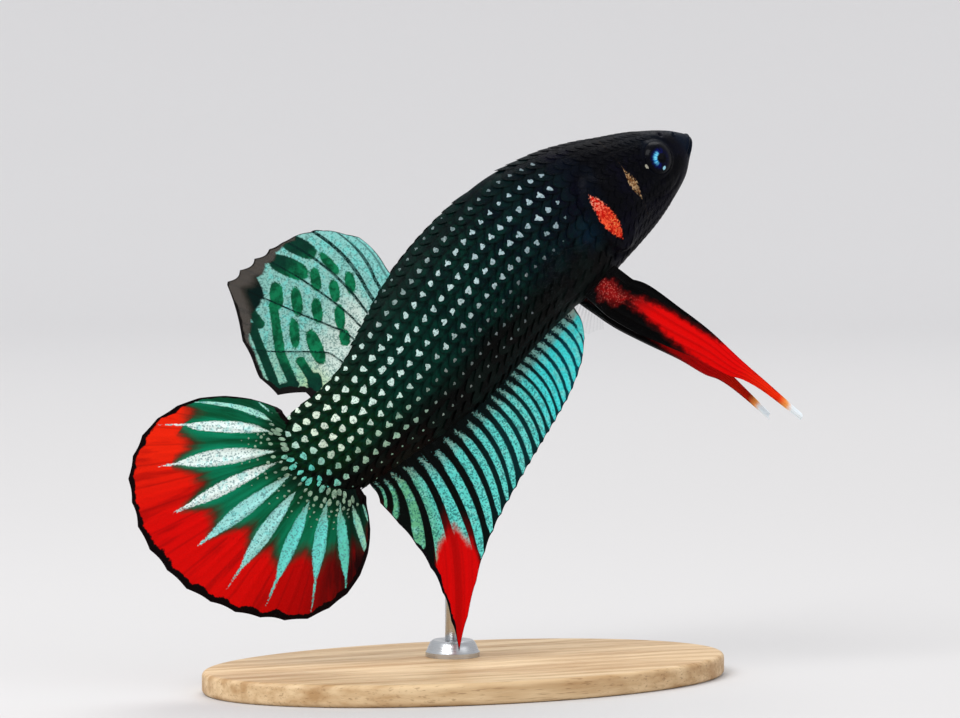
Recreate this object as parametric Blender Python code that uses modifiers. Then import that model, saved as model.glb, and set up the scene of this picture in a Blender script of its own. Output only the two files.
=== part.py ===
"""A male crescent betta at life size, held over a flat base by one leaning rod.

Lengths are metres, and the tables are in millimetres. The fish is designed straight, in
its own frame: how far a point lies behind the snout, how far to the fish's left, and how
high over the body axis. bend() lays that frame along a gentle curve, and the empty that
carries every part of the fish then pitches it up over the base.
"""

import math

import bmesh
import bpy
from mathutils import Matrix, Vector

MM = 0.001

# Pose of the fish over its base
BEND_RADIUS = 160 * MM
SNOUT_HEADING = math.radians(8)
PITCH = math.radians(37)
SNOUT_FORWARD = 21.5 * MM
SNOUT_LEFT = -1.5 * MM
TIP_CLEARANCE = 1.0 * MM  # between the lowest fin tip and the base

# Walls and clearances
GAP = 0.3 * MM
FIN_THICKNESS = 0.5 * MM
GILL_COVER_THICKNESS = 0.5 * MM

# Body: behind the snout, back, belly, half width, and how keeled the section is
BODY_SECTIONS = (
    (-0.6, 1.3, 0.9, 0.35, 1.0),
    (-0.3, 1.7, 0.4, 0.95, 1.0),
    (0.2, 2.25, -0.15, 1.3, 1.0),
    (0.9, 2.95, -0.7, 1.65, 1.0),
    (2.5, 4.2, -1.75, 2.2, 1.0),
    (4.9, 5.75, -2.6, 2.75, 1.0),
    (7.2, 6.95, -3.2, 3.05, 1.0),
    (9.6, 8.2, -3.6, 3.2, 1.0),
    (12.4, 9.4, -3.95, 3.3, 1.05),
    (14.5, 10.0, -4.25, 3.45, 1.1),
    (17.9, 10.7, -4.9, 3.5, 1.15),
    (21.0, 10.85, -5.2, 3.45, 1.2),
    (24.5, 10.65, -5.35, 3.3, 1.2),
    (28.0, 10.15, -5.5, 3.05, 1.2),
    (32.0, 9.05, -5.6, 2.7, 1.2),
    (36.0, 7.25, -5.55, 2.25, 1.2),
    (40.0, 5.5, -5.25, 1.75, 1.2),
    (43.0, 5.0, -5.0, 1.4, 1.2),
    (45.3, 4.85, -4.5, 1.0, 1.2),
    (46.6, 4.5, -3.35, 0.75, 1.2),
    (47.3, 3.95, -1.95, 0.55, 1.2),
    (47.7, 3.0, -0.5, 0.35, 1.2),
)
RING_POINTS = 20
HEAD_SPAN = (-0.6 * MM, 13.8 * MM)
TRUNK_SPAN = (14.1 * MM, 36.6 * MM)
TAIL_SPAN = (36.9 * MM, 47.7 * MM)

# Eyes and mouth
EYE_BEHIND = 4.4 * MM
EYE_UP = 2.35 * MM
EYE_OUT = 2.0 * MM
EYE_RADIUS = 1.65 * MM
EYE_DEPTH = 1.25 * MM
MOUTH_BEHIND = -0.7 * MM
MOUTH_UP = 1.25 * MM
MOUTH_DEPTH = 2.2 * MM
MOUTH_SLOPE = math.radians(27)

# Gill covers, as an oval on the side of the head
GILL_BEHIND = 10.2 * MM
GILL_HALF_LENGTH = 3.5 * MM
GILL_ANGLE = math.radians(-14)
GILL_HALF_ANGLE = math.radians(47)

# Dorsal fin: number of a ray, then its tip behind the snout and up
DORSAL_RAYS = 12
DORSAL_BASE = (30.8 * MM, 43.0 * MM)
DORSAL_LEADING = ((0, 31.1, 13.6), (2, 33.6, 16.2), (4, 36.9, 17.5), (6, 39.8, 18.0), (8, 43.1, 17.9))
DORSAL_TRAILING = ((8, 43.1, 17.9), (9, 44.4, 14.7), (10, 45.2, 11.8), (11, 45.7, 9.2), (12, 45.3, 6.7))

# Anal fin, in the same way
ANAL_RAYS = 26
ANAL_BASE = (18.6 * MM, 43.4 * MM)
ANAL_LEADING = (
    (0, 19.4, -6.9),
    (2, 20.9, -8.6),
    (5, 24.0, -10.45),
    (13, 32.8, -13.5),
    (17, 38.6, -16.5),
    (20, 45.8, -22.6),
)
ANAL_TRAILING = ((20, 45.8, -22.6), (22, 43.8, -17.2), (24, 43.2, -12.2), (26, 43.6, -6.9))

# Caudal fin: an oval margin that leans, and the arc of its base round the tail's end
CAUDAL_CENTRE = 53.4 * MM
CAUDAL_HALF_LENGTH = 9.3 * MM
CAUDAL_HALF_HEIGHT = 11.65 * MM
CAUDAL_LEAN = 1.3 * MM
CAUDAL_TOP_ANGLE = math.radians(150)
CAUDAL_BOTTOM_ANGLE = math.radians(-149)
CAUDAL_BASE_CENTRE = 45.1 * MM
CAUDAL_BASE_REACH = 2.9 * MM
CAUDAL_BASE_LEAN = 0.8 * MM
CAUDAL_BASE_HALF_HEIGHT = 5.25 * MM
CAUDAL_RAYS = 12

# Pelvic fins: leading edge behind and up, trailing edge behind and up, and how far out
PELVIC_SECTIONS = (
    (0, 13.8, -4.75, 17.2, -5.45, 0.9),
    (1, 11.9, -6.6, 16.0, -8.2, 1.15),
    (2, 10.7, -10.2, 14.4, -11.2, 1.45),
    (3, 9.7, -13.6, 12.2, -15.0, 1.8),
    (4, 8.7, -17.3, 10.6, -17.9, 2.1),
    (5, 7.9, -21.0, 9.1, -21.6, 2.5),
    (6, 7.2, -25.4, 7.6, -25.8, 2.8),
)

# Pectoral fins: a short upright root behind the gill cover, and a fan folded back from it
PECTORAL_BEHIND = 15.2 * MM
PECTORAL_ROOT = (1.0 * MM, -1.6 * MM)
PECTORAL_LENGTH = 8.5 * MM
PECTORAL_TOP_ANGLE = math.radians(22)
PECTORAL_BOTTOM_ANGLE = math.radians(-42)
PECTORAL_SPREAD = math.radians(24)
PECTORAL_RAYS = 6

# Display stand
BASE_LENGTH = 50 * MM
BASE_WIDTH = 28 * MM
BASE_THICKNESS = 2.0 * MM
BASE_EDGE = 0.45 * MM
BASE_SEGMENTS = 48
ROD_RADIUS = 0.7 * MM
ROD_TIP = (31.0 * MM, 0.8 * MM, -1.4 * MM)  # in the fish's own frame, inside the trunk
ROD_LEAN_FORWARD = 2.2 * MM
ROD_LEAN_LEFT = 5.5 * MM
ROD_FOOT_GAP = 0.5 * MM
COLLAR_BORE = 1.35 * MM
COLLAR_SEGMENTS = 24
COLLAR_PROFILE = ((2.5, 0.0), (2.5, 0.5), (2.2, 1.0), (1.9, 1.5))  # outer side, in mm


def clear_scene():
    """Remove whatever the file already holds."""
    for item in list(bpy.data.objects):
        bpy.data.objects.remove(item, do_unlink=True)


def new_collection(name):
    """Return a new collection, linked to the scene."""
    collection = bpy.data.collections.new(name)
    bpy.context.scene.collection.children.link(collection)
    return collection


def new_material(name, colour, roughness, metallic=0.0):
    """Return a Principled material of one colour."""
    material = bpy.data.materials.new(name)
    material.use_nodes = True
    shader = material.node_tree.nodes["Principled BSDF"]
    shader.inputs["Base Color"].default_value = (*colour, 1.0)
    shader.inputs["Roughness"].default_value = roughness
    shader.inputs["Metallic"].default_value = metallic
    return material


def interpolate(table, key):
    """Return a table's values at a key, in metres, by cubic pieces through its rows."""
    last = len(table) - 1
    index = 0
    while index < last - 1 and table[index + 1][0] < key:
        index += 1
    before, start = table[max(index - 1, 0)], table[index]
    end, after = table[index + 1], table[min(index + 2, last)]
    span = end[0] - start[0]
    part = min(max((key - start[0]) / span, 0.0), 1.0)
    values = []
    for column in range(1, len(start)):
        slope_in = span * (end[column] - before[column]) / (end[0] - before[0])
        slope_out = span * (after[column] - start[column]) / (after[0] - start[0])
        rise = end[column] - start[column]
        cubic = slope_in + slope_out - 2 * rise
        square = 3 * rise - 2 * slope_in - slope_out
        values.append(start[column] + part * (slope_in + part * (square + part * cubic)))
    return values


def body_section(behind):
    """Return the back, belly and half width in metres, and the keel, of a section."""
    back, belly, half_width, keel = interpolate(BODY_SECTIONS, behind / MM)
    return back * MM, belly * MM, half_width * MM, keel


def body_point(behind, angle, lift=0.0):
    """Return a point of the straight body's surface, or one lifted off it."""
    back, belly, half_width, keel = body_section(behind)
    half_height = (back - belly) / 2
    side, rise = math.cos(angle), math.sin(angle)
    left = half_width * math.copysign(abs(side) ** keel, side)
    up = (back + belly) / 2 + half_height * rise
    outward = Vector((side / half_width, rise / half_height)).normalized()
    return behind, left + lift * outward.x, up + lift * outward.y


def bend(behind, left, up):
    """Lay a point of the straight fish along its bend, with the snout's tip at zero."""
    heading = SNOUT_HEADING - behind / BEND_RADIUS
    forward = BEND_RADIUS * (math.sin(heading) - math.sin(SNOUT_HEADING))
    sideways = BEND_RADIUS * (math.cos(SNOUT_HEADING) - math.cos(heading))
    return Vector((forward - left * math.sin(heading), sideways + left * math.cos(heading), up))


def snout_height():
    """Return how high the snout's tip stands, so that the lowest fin clears the base."""
    tip_behind, tip_up = ANAL_TRAILING[0][1] * MM, ANAL_TRAILING[0][2] * MM
    tip = bend(tip_behind, 0.0, tip_up)
    drop = tip.x * math.sin(PITCH) + tip.z * math.cos(PITCH)
    return BASE_THICKNESS + TIP_CLEARANCE - drop


def pose_matrix():
    """Return the matrix from the bent fish's frame to the object's frame."""
    place = Matrix.Translation((SNOUT_FORWARD, SNOUT_LEFT, snout_height()))
    return place @ Matrix.Rotation(-PITCH, 4, "Y")


def make_carrier(collection):
    """Return the empty that pitches the fish and holds it over the base."""
    carrier = bpy.data.objects.new("fish_pose", None)
    carrier.rotation_euler = (0.0, -PITCH, 0.0)
    carrier.location = (SNOUT_FORWARD, SNOUT_LEFT, snout_height())
    collection.objects.link(carrier)
    return carrier


def finish_object(name, shape, collection, material=None, carrier=None):
    """Turn a bmesh into a named object with its material, shading and parent."""
    mesh = bpy.data.meshes.new(name)
    shape.to_mesh(mesh)
    shape.free()
    mesh.shade_smooth()
    mesh.set_sharp_from_angle(angle=math.radians(40))
    if material:
        mesh.materials.append(material)
    item = bpy.data.objects.new(name, mesh)
    item.parent = carrier
    collection.objects.link(item)
    return item


def cut(item, cutter):
    """Cut one object by another with an exact Boolean."""
    modifier = item.modifiers.new("cut_" + cutter.name, "BOOLEAN")
    modifier.operation = "DIFFERENCE"
    modifier.solver = "EXACT"
    modifier.object = cutter


def hide_cutter(cutter):
    """Keep a cutter out of renders and show it as wire."""
    cutter.hide_render = True
    cutter.display_type = "WIRE"
    return cutter


def spaced(start, end, steps):
    """Return evenly spaced values from start to end, both included."""
    return [start + (end - start) * step / steps for step in range(steps + 1)]


def loft_rings(rings):
    """Return a closed bmesh through rings of as many points each."""
    shape = bmesh.new()
    loops = [[shape.verts.new(point) for point in ring] for ring in rings]
    count = len(loops[0])
    for lower, upper in zip(loops, loops[1:]):
        for index in range(count):
            after = (index + 1) % count
            shape.faces.new((lower[index], lower[after], upper[after], upper[index]))
    shape.faces.new(loops[0])
    shape.faces.new(loops[-1])
    bmesh.ops.recalc_face_normals(shape, faces=shape.faces)
    return shape


def body_length(name, stations, collection, material, carrier):
    """Make one length of the body through its stations behind the snout."""
    angles = [math.tau * step / RING_POINTS for step in range(RING_POINTS)]
    rings = [[bend(*body_point(behind, angle)) for angle in angles] for behind in stations]
    return finish_object(name, loft_rings(rings), collection, material, carrier)


def nose_stations(span):
    """Return the head's stations, closer together towards the blunt nose."""
    start, end = span
    return [start + (end - start) * (step / 13) ** 1.5 for step in range(14)]


def make_eye_shape(growth):
    """Return an eye's flattened ball, its poles facing out, grown by a clearance."""
    shape = bmesh.new()
    bmesh.ops.create_uvsphere(shape, u_segments=16, v_segments=9, radius=1.0)
    size = Matrix.Diagonal((EYE_RADIUS + growth, EYE_DEPTH + growth, EYE_RADIUS + growth, 1.0))
    bmesh.ops.transform(shape, matrix=size @ Matrix.Rotation(math.pi / 2, 4, "X"), verts=shape.verts)
    return shape


def place_eye(item, side):
    """Set an eye or its socket in the side of the head, 1 for left and -1 for right."""
    item.location = bend(EYE_BEHIND, side * EYE_OUT, EYE_UP)
    item.rotation_euler = (0.0, 0.0, SNOUT_HEADING - EYE_BEHIND / BEND_RADIUS)


def make_mouth_cutter(collection, carrier):
    """Return the thin wedge that opens the upturned mouth."""
    shape = bmesh.new()
    bmesh.ops.create_cube(shape, size=1.0)
    size = Matrix.Diagonal((2 * MOUTH_DEPTH, 6 * MM, GAP, 1.0))
    bmesh.ops.transform(shape, matrix=size, verts=shape.verts)
    cutter = finish_object("mouth_cut", shape, collection, carrier=carrier)
    cutter.location = bend(MOUTH_BEHIND, 0.0, MOUTH_UP)
    cutter.rotation_euler = (0.0, -MOUTH_SLOPE, SNOUT_HEADING)
    return hide_cutter(cutter)


def make_head(parts, cutters, skin, eye_finish, carrier):
    """Make the head with its mouth and sockets, and the two eyes in them."""
    head = body_length("head", nose_stations(HEAD_SPAN), parts, skin, carrier)
    cut(head, make_mouth_cutter(cutters, carrier))
    for name, side in (("right", -1), ("left", 1)):
        socket = finish_object("socket_" + name, make_eye_shape(GAP), cutters, carrier=carrier)
        place_eye(hide_cutter(socket), side)
        cut(head, socket)
        eye = finish_object("eye_" + name, make_eye_shape(0.0), parts, eye_finish, carrier)
        place_eye(eye, side)


def grid_sheet(columns, rows, point_at):
    """Return an open grid whose points come from a function of two places from 0 to 1."""
    shape = bmesh.new()
    points = []
    for column in range(columns + 1):
        places = [point_at(column / columns, row / rows) for row in range(rows + 1)]
        points.append([shape.verts.new(place) for place in places])
    for near, far in zip(points, points[1:]):
        for row in range(rows):
            shape.faces.new((near[row], far[row], far[row + 1], near[row + 1]))
    return shape


def thicken(item, thickness, offset):
    """Give an open sheet its wall: offset 0 on both sides, 1 along its normals."""
    wall = item.modifiers.new("wall", "SOLIDIFY")
    wall.thickness = thickness
    wall.offset = offset
    wall.use_even_offset = False


def make_gill_cover(name, side, collection, material, carrier):
    """Make one gill cover, an oval plate that stands just off the side of the head."""
    def point_at(along, around):
        """Map the unit square to an oval on the head's side."""
        across, down = 2 * along - 1, 2 * around - 1
        behind = GILL_BEHIND + GILL_HALF_LENGTH * across * math.sqrt(1 - down * down / 2)
        angle = GILL_ANGLE + GILL_HALF_ANGLE * down * math.sqrt(1 - across * across / 2)
        place = body_point(behind, angle, lift=GAP)
        return bend(place[0], side * place[1], place[2])

    sheet = grid_sheet(8, 8, point_at)
    item = finish_object(name, sheet, collection, material, carrier)
    thicken(item, GILL_COVER_THICKNESS, side)


def ray_point(root, tip, along, bow):
    """Return a point of a fin ray that bows forward between its root and its tip."""
    sag = 4 * bow * along * (1 - along)
    run, rise = tip[0] - root[0], tip[1] - root[1]
    return root[0] + run * along - abs(rise) * sag, root[1] + rise * along + abs(run) * sag * 0.3


def ray_tip(leading, trailing, ray):
    """Return the tip of a ray, whole or in between, of a fin whose margin has one corner."""
    table = leading if ray <= leading[-1][0] else trailing
    behind, up = interpolate(table, ray)
    return behind * MM, up * MM


def scallop(ray, depth):
    """Return the membrane's relative length, full on each ray and shorter between two."""
    return 1.0 - depth * abs(math.sin(math.pi * ray))


def make_dorsal_fin(collection, material, carrier):
    """Make the dorsal fin, its rays leaning back from the top of the back."""
    def point_at(place, along):
        """Return a point of the fin's middle sheet."""
        behind = DORSAL_BASE[0] + (DORSAL_BASE[1] - DORSAL_BASE[0]) * place
        root = behind, body_section(behind)[0] + GAP
        ray = place * DORSAL_RAYS
        tip = ray_tip(DORSAL_LEADING, DORSAL_TRAILING, ray)
        reach = along * scallop(ray, 0.03)
        across, up = ray_point(root, tip, reach, 0.07)
        wave = 0.5 * MM * along * math.sin(math.tau * 1.2 * place + 0.6)
        return bend(across, wave, up)

    sheet = grid_sheet(2 * DORSAL_RAYS, 5, point_at)
    thicken(finish_object("dorsal_fin", sheet, collection, material, carrier), FIN_THICKNESS, 0.0)


def make_anal_fin(collection, material, carrier):
    """Make the anal fin, longest in the drawn-out tip near its rear end."""
    def point_at(place, along):
        """Return a point of the fin's middle sheet."""
        behind = ANAL_BASE[0] + (ANAL_BASE[1] - ANAL_BASE[0]) * place
        root = behind, body_section(behind)[1] - GAP
        ray = place * ANAL_RAYS
        tip = ray_tip(ANAL_LEADING, ANAL_TRAILING, ray)
        reach = along * scallop(ray, 0.02)
        across, up = ray_point(root, tip, reach, 0.1)
        wave = 0.45 * MM * along * math.sin(math.tau * 1.4 * place)
        return bend(across, wave, up)

    sheet = grid_sheet(2 * ANAL_RAYS, 5, point_at)
    thicken(finish_object("anal_fin", sheet, collection, material, carrier), FIN_THICKNESS, 0.0)


def make_caudal_fin(collection, material, carrier):
    """Make the round caudal fin, a fan from the arc at the tail's end."""
    def point_at(place, along):
        """Return a point of the fin's middle sheet."""
        turn = math.pi * (0.5 - place)
        root = (CAUDAL_BASE_CENTRE + CAUDAL_BASE_REACH * math.cos(turn) + CAUDAL_BASE_LEAN * math.sin(turn),
                CAUDAL_BASE_HALF_HEIGHT * math.sin(turn))
        angle = CAUDAL_TOP_ANGLE + (CAUDAL_BOTTOM_ANGLE - CAUDAL_TOP_ANGLE) * place
        margin = (CAUDAL_CENTRE + CAUDAL_HALF_LENGTH * math.cos(angle) + CAUDAL_LEAN * math.sin(angle),
                  CAUDAL_HALF_HEIGHT * math.sin(angle))
        reach = along * scallop(place * CAUDAL_RAYS, 0.03)
        behind = root[0] + (margin[0] - root[0]) * reach
        up = root[1] + (margin[1] - root[1]) * reach
        wave = 0.6 * MM * along * math.sin(math.tau * 1.5 * place + 1.0)
        return bend(behind, wave, up)

    sheet = grid_sheet(2 * CAUDAL_RAYS, 6, point_at)
    thicken(finish_object("caudal_fin", sheet, collection, material, carrier), FIN_THICKNESS, 0.0)


def make_pelvic_fin(name, side, collection, material, carrier):
    """Make one long pelvic blade that hangs forward and outward from the breast."""
    def point_at(across, along):
        """Return a point of the blade's middle sheet."""
        place = along * (len(PELVIC_SECTIONS) - 1)
        row = [value * MM for value in interpolate(PELVIC_SECTIONS, place)]
        behind = row[0] + (row[2] - row[0]) * across
        up = row[1] + (row[3] - row[1]) * across
        crown = 0.25 * MM * math.sin(math.pi * across)
        return bend(behind, side * (row[4] + crown), up)

    sheet = grid_sheet(4, 14, point_at)
    thicken(finish_object(name, sheet, collection, material, carrier), FIN_THICKNESS, 0.0)


def make_pectoral_fin(name, side, collection, material, carrier):
    """Make one pectoral fin, a clear fan folded back along the flank."""
    def point_at(place, along):
        """Return a point of the fan's middle sheet."""
        root_up = PECTORAL_ROOT[0] + (PECTORAL_ROOT[1] - PECTORAL_ROOT[0]) * place
        back, belly, half_width, keel = body_section(PECTORAL_BEHIND)
        rise = (root_up - (back + belly) / 2) / ((back - belly) / 2)
        root_out = half_width * math.cos(math.asin(rise)) ** keel + GAP + FIN_THICKNESS / 2
        angle = PECTORAL_TOP_ANGLE + (PECTORAL_BOTTOM_ANGLE - PECTORAL_TOP_ANGLE) * place
        reach = PECTORAL_LENGTH * (0.72 + 0.28 * math.sin(math.pi * place)) * along
        reach *= scallop(place * PECTORAL_RAYS, 0.03)
        behind = PECTORAL_BEHIND + reach * math.cos(angle) * math.cos(PECTORAL_SPREAD)
        out = root_out + reach * math.sin(PECTORAL_SPREAD)
        return bend(behind, side * out, root_up + reach * math.sin(angle))

    sheet = grid_sheet(2 * PECTORAL_RAYS, 4, point_at)
    thicken(finish_object(name, sheet, collection, material, carrier), FIN_THICKNESS, 0.0)


def make_base(collection, material):
    """Make the oval base, its underside flat on the floor."""
    shape = bmesh.new()
    bmesh.ops.create_cone(shape, cap_ends=True, segments=BASE_SEGMENTS, radius1=0.5, radius2=0.5, depth=1.0)
    size = Matrix.Diagonal((BASE_LENGTH, BASE_WIDTH, BASE_THICKNESS, 1.0))
    lift = Matrix.Translation((0.0, 0.0, BASE_THICKNESS / 2))
    bmesh.ops.transform(shape, matrix=lift @ size, verts=shape.verts)
    base = finish_object("stand_base", shape, collection, material)
    edge = base.modifiers.new("edge", "BEVEL")
    edge.width = BASE_EDGE
    edge.segments = 2
    edge.angle_limit = math.radians(40)


def rod_ends():
    """Return the rod's foot over the base and its tip in the trunk."""
    tip = pose_matrix() @ bend(*ROD_TIP)
    foot = Vector((tip.x + ROD_LEAN_FORWARD, tip.y + ROD_LEAN_LEFT, BASE_THICKNESS + ROD_FOOT_GAP))
    return foot, tip


def rod_shape(radius, overrun):
    """Return a cylinder along the rod's line that runs past its tip by a clearance."""
    foot, tip = rod_ends()
    line = tip - foot
    length = line.length + overrun
    shape = bmesh.new()
    bmesh.ops.create_cone(shape, cap_ends=True, segments=20, radius1=radius, radius2=radius, depth=length)
    turn = line.to_track_quat("Z", "Y").to_matrix().to_4x4()
    place = Matrix.Translation(foot) @ turn @ Matrix.Translation((0.0, 0.0, length / 2))
    bmesh.ops.transform(shape, matrix=place, verts=shape.verts)
    return shape


def make_rod(parts, cutters, trunk, material):
    """Make the leaning rod, and its hole in the side of the trunk."""
    finish_object("stand_rod", rod_shape(ROD_RADIUS, 0.0), parts, material)
    hole = finish_object("rod_hole", rod_shape(ROD_RADIUS + GAP, GAP), cutters)
    cut(trunk, hide_cutter(hole))


def make_collar(collection, material):
    """Make the turned collar round the rod's foot."""
    foot = rod_ends()[0]
    outer = [(radius * MM, height * MM) for radius, height in COLLAR_PROFILE]
    inner = [(COLLAR_BORE, outer[-1][1]), (COLLAR_BORE, outer[0][1])]
    rings = []
    for step in range(COLLAR_SEGMENTS):
        turn = math.tau * step / COLLAR_SEGMENTS
        rings.append([(radius * math.cos(turn), radius * math.sin(turn), height) for radius, height in outer + inner])
    shape = bmesh.new()
    loops = [[shape.verts.new(point) for point in ring] for ring in rings]
    for near, far in zip(loops, loops[1:] + loops[:1]):
        for index in range(len(near)):
            after = (index + 1) % len(near)
            shape.faces.new((near[index], far[index], far[after], near[after]))
    bmesh.ops.recalc_face_normals(shape, faces=shape.faces)
    collar = finish_object("stand_collar", shape, collection, material)
    collar.location = (foot.x, foot.y, BASE_THICKNESS + GAP)


def main():
    """Build the fish and its stand."""
    clear_scene()
    parts = new_collection("betta_fish")
    cutters = new_collection("cutters")
    carrier = make_carrier(parts)

    skin = new_material("dark_skin", (0.012, 0.022, 0.03), 0.35)
    scales = new_material("dark_green_scales", (0.012, 0.045, 0.04), 0.35)
    eye_finish = new_material("eye", (0.01, 0.03, 0.12), 0.08)
    mint = new_material("mint_fin", (0.35, 0.72, 0.62), 0.4)
    turquoise = new_material("turquoise_fin", (0.08, 0.55, 0.5), 0.4)
    red = new_material("red_fin", (0.72, 0.02, 0.015), 0.4)
    clear = new_material("clear_fin", (0.3, 0.32, 0.32), 0.3)
    wood = new_material("pale_wood", (0.62, 0.47, 0.31), 0.5)
    steel = new_material("steel", (0.6, 0.6, 0.6), 0.3, metallic=1.0)

    make_head(parts, cutters, skin, eye_finish, carrier)
    trunk = body_length("trunk", spaced(*TRUNK_SPAN, 14), parts, scales, carrier)
    body_length("tail", spaced(*TAIL_SPAN, 10), parts, scales, carrier)
    make_dorsal_fin(parts, mint, carrier)
    make_anal_fin(parts, turquoise, carrier)
    make_caudal_fin(parts, red, carrier)
    for name, side in (("right", -1), ("left", 1)):
        make_gill_cover("gill_cover_" + name, side, parts, skin, carrier)
        make_pelvic_fin("pelvic_fin_" + name, side, parts, red, carrier)
        make_pectoral_fin("pectoral_fin_" + name, side, parts, clear, carrier)
    make_base(parts, wood)
    make_rod(parts, cutters, trunk, steel)
    make_collar(parts, steel)


main()
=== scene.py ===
"""Looks of a male crescent betta on its display stand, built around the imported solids.

The fish is designed straight, in millimetres: how far a point lies behind the snout, how
far to the fish's left and how high over the body axis. Body.world() bends it, pitches it
and sets it over the base, in metres. Every surface carries its own place on the straight
fish as attributes, so that all markings are read from the surface itself.
"""

import logging
import math
from dataclasses import dataclass
from enum import Enum
from typing import Callable, Iterable, Sequence, Union

import bpy
import numpy as np
from mathutils import Matrix, Vector


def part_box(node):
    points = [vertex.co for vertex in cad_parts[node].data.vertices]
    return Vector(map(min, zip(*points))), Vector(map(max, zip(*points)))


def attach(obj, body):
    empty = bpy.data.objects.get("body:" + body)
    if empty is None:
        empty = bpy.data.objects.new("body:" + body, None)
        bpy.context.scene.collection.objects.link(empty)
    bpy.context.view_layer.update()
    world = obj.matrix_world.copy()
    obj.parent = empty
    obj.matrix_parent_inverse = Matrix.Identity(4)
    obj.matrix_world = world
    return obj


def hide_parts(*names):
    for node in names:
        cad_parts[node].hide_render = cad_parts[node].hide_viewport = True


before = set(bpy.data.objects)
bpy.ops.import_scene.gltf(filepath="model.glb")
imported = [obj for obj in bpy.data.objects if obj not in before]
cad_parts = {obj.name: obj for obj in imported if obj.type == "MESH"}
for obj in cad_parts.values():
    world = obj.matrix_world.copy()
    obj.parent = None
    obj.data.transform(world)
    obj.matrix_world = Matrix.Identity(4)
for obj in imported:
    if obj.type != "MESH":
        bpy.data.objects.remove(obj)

LOG = logging.getLogger("betta")
MM = 0.001
BAKE_MAP = "OFBake"
BAKE_PATCH = 0.003

Array = np.ndarray
Places = tuple[Array, Array, Array]
Rows = Sequence[Sequence[float]]
Tone = tuple[int, int, int]
Feed = Union["Wire", float, Tone]
Object = bpy.types.Object
Mesh = bpy.types.Mesh
Material = bpy.types.Material
NodeTree = bpy.types.NodeTree


class Side(Enum):
    """The fish's own sides, with the sign of the distance to its left."""

    LEFT = 1
    RIGHT = -1


# ---------------------------------------------------------------- numbers and curves


def srgb(red: int, green: int, blue: int) -> tuple[float, ...]:
    """Return a linear colour with full alpha from screen values of 0 to 255."""
    return *((value / 255) ** 2.2 for value in (red, green, blue)), 1.0


def smooth(value: Array, low: Array | float, high: Array | float) -> Array:
    """Return an S-curve that is 0 up to low and 1 from high on."""
    part = np.clip((value - low) / (high - low), 0.0, 1.0)
    return part * part * (3 - 2 * part)


def bell(value: Array, width: float) -> Array:
    """Return a bell curve that is 1 at zero and falls off over a width."""
    return np.exp(-((value / width) ** 2))


class Profile:
    """Smooth columns of numbers against a key, read by cubic pieces through their rows."""

    def __init__(self, rows: Rows) -> None:
        """Keep the rows and work out their slopes.

        Args:
            rows: the table's rows, whose first number is the key.
        """
        table = np.array(rows, dtype=float)
        self.keys, self.values = table[:, 0], table[:, 1:]
        first = (self.values[1] - self.values[0]) / (self.keys[1] - self.keys[0])
        last = (self.values[-1] - self.values[-2]) / (self.keys[-1] - self.keys[-2])
        inner = (self.values[2:] - self.values[:-2]) / (self.keys[2:] - self.keys[:-2])[:, None]
        self.slopes = np.vstack([first, inner, last])

    def __call__(self, key: Array) -> Array:
        """Return the columns' values.

        Args:
            key: the keys to read the table at.

        Returns:
            One row for each column of the table.
        """
        key = np.atleast_1d(np.asarray(key, dtype=float))
        index = np.clip(np.searchsorted(self.keys, key) - 1, 0, len(self.keys) - 2)
        span = (self.keys[index + 1] - self.keys[index])[..., None]
        part = np.clip((key - self.keys[index])[..., None] / span, 0.0, 1.0)
        start, end = self.values[index], self.values[index + 1]
        slope_in, slope_out = span * self.slopes[index], span * self.slopes[index + 1]
        rise = end - start
        cubic = slope_in + slope_out - 2 * rise
        square = 3 * rise - 2 * slope_in - slope_out
        return np.moveaxis(start + part * (slope_in + part * (square + part * cubic)), -1, 0)


# ---------------------------------------------------------------- mesh helpers


def deselect_all() -> None:
    """Leave nothing selected and Blender in object mode."""
    if bpy.context.object and bpy.context.object.mode != "OBJECT":
        bpy.ops.object.mode_set(mode="OBJECT")
    bpy.ops.object.select_all(action="DESELECT")


def added(name: str) -> Object:
    """Name the primitive that was just added.

    Args:
        name: the name for the object and for its mesh.

    Returns:
        The primitive.
    """
    item = bpy.context.object
    item.name = item.data.name = name
    return item


def take(item: Object) -> None:
    """Select one object alone and make it the active one.

    Args:
        item: the object.
    """
    deselect_all()
    item.select_set(True)
    bpy.context.view_layer.objects.active = item


def edit(item: Object, *steps: Callable[[], object]) -> None:
    """Run operators on all of an object's mesh in edit mode.

    Args:
        item: the object.
        steps: calls of the operators.
    """
    take(item)
    bpy.ops.object.mode_set(mode="EDIT")
    bpy.ops.mesh.select_all(action="SELECT")
    for step in steps:
        step()
    bpy.ops.object.mode_set(mode="OBJECT")


def face_outwards(item: Object) -> None:
    """Turn a closed mesh's faces to point outwards."""
    edit(item, lambda: bpy.ops.mesh.normals_make_consistent(inside=False))


def modify(item: Object, kind: str, **settings: object) -> None:
    """Add a modifier and apply it.

    Args:
        item: the object.
        kind: the modifier's type.
        settings: its options.
    """
    modifier = item.modifiers.new(kind.lower(), kind)
    for name, value in settings.items():
        setattr(modifier, name, value)
    take(item)
    bpy.ops.object.modifier_apply(modifier=modifier.name)


def read(points: Sequence, label: str, width: int = 3) -> Array:
    """Read one vector for each of a mesh's points.

    Args:
        points: the points, or what else holds the vectors.
        label: the vector's name.
        width: its length.

    Returns:
        The vectors, one row each.
    """
    flat = np.empty(len(points) * width, dtype=np.float32)
    points.foreach_get(label, flat)
    return flat.reshape(-1, width).astype(float)


def points_of(mesh: Mesh) -> Array:
    """Return a mesh's points, one row each."""
    return read(mesh.vertices, "co")


def set_points(mesh: Mesh, points: Array) -> None:
    """Move a mesh's points."""
    mesh.vertices.foreach_set("co", points.astype(np.float32).ravel())
    mesh.update()


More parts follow.
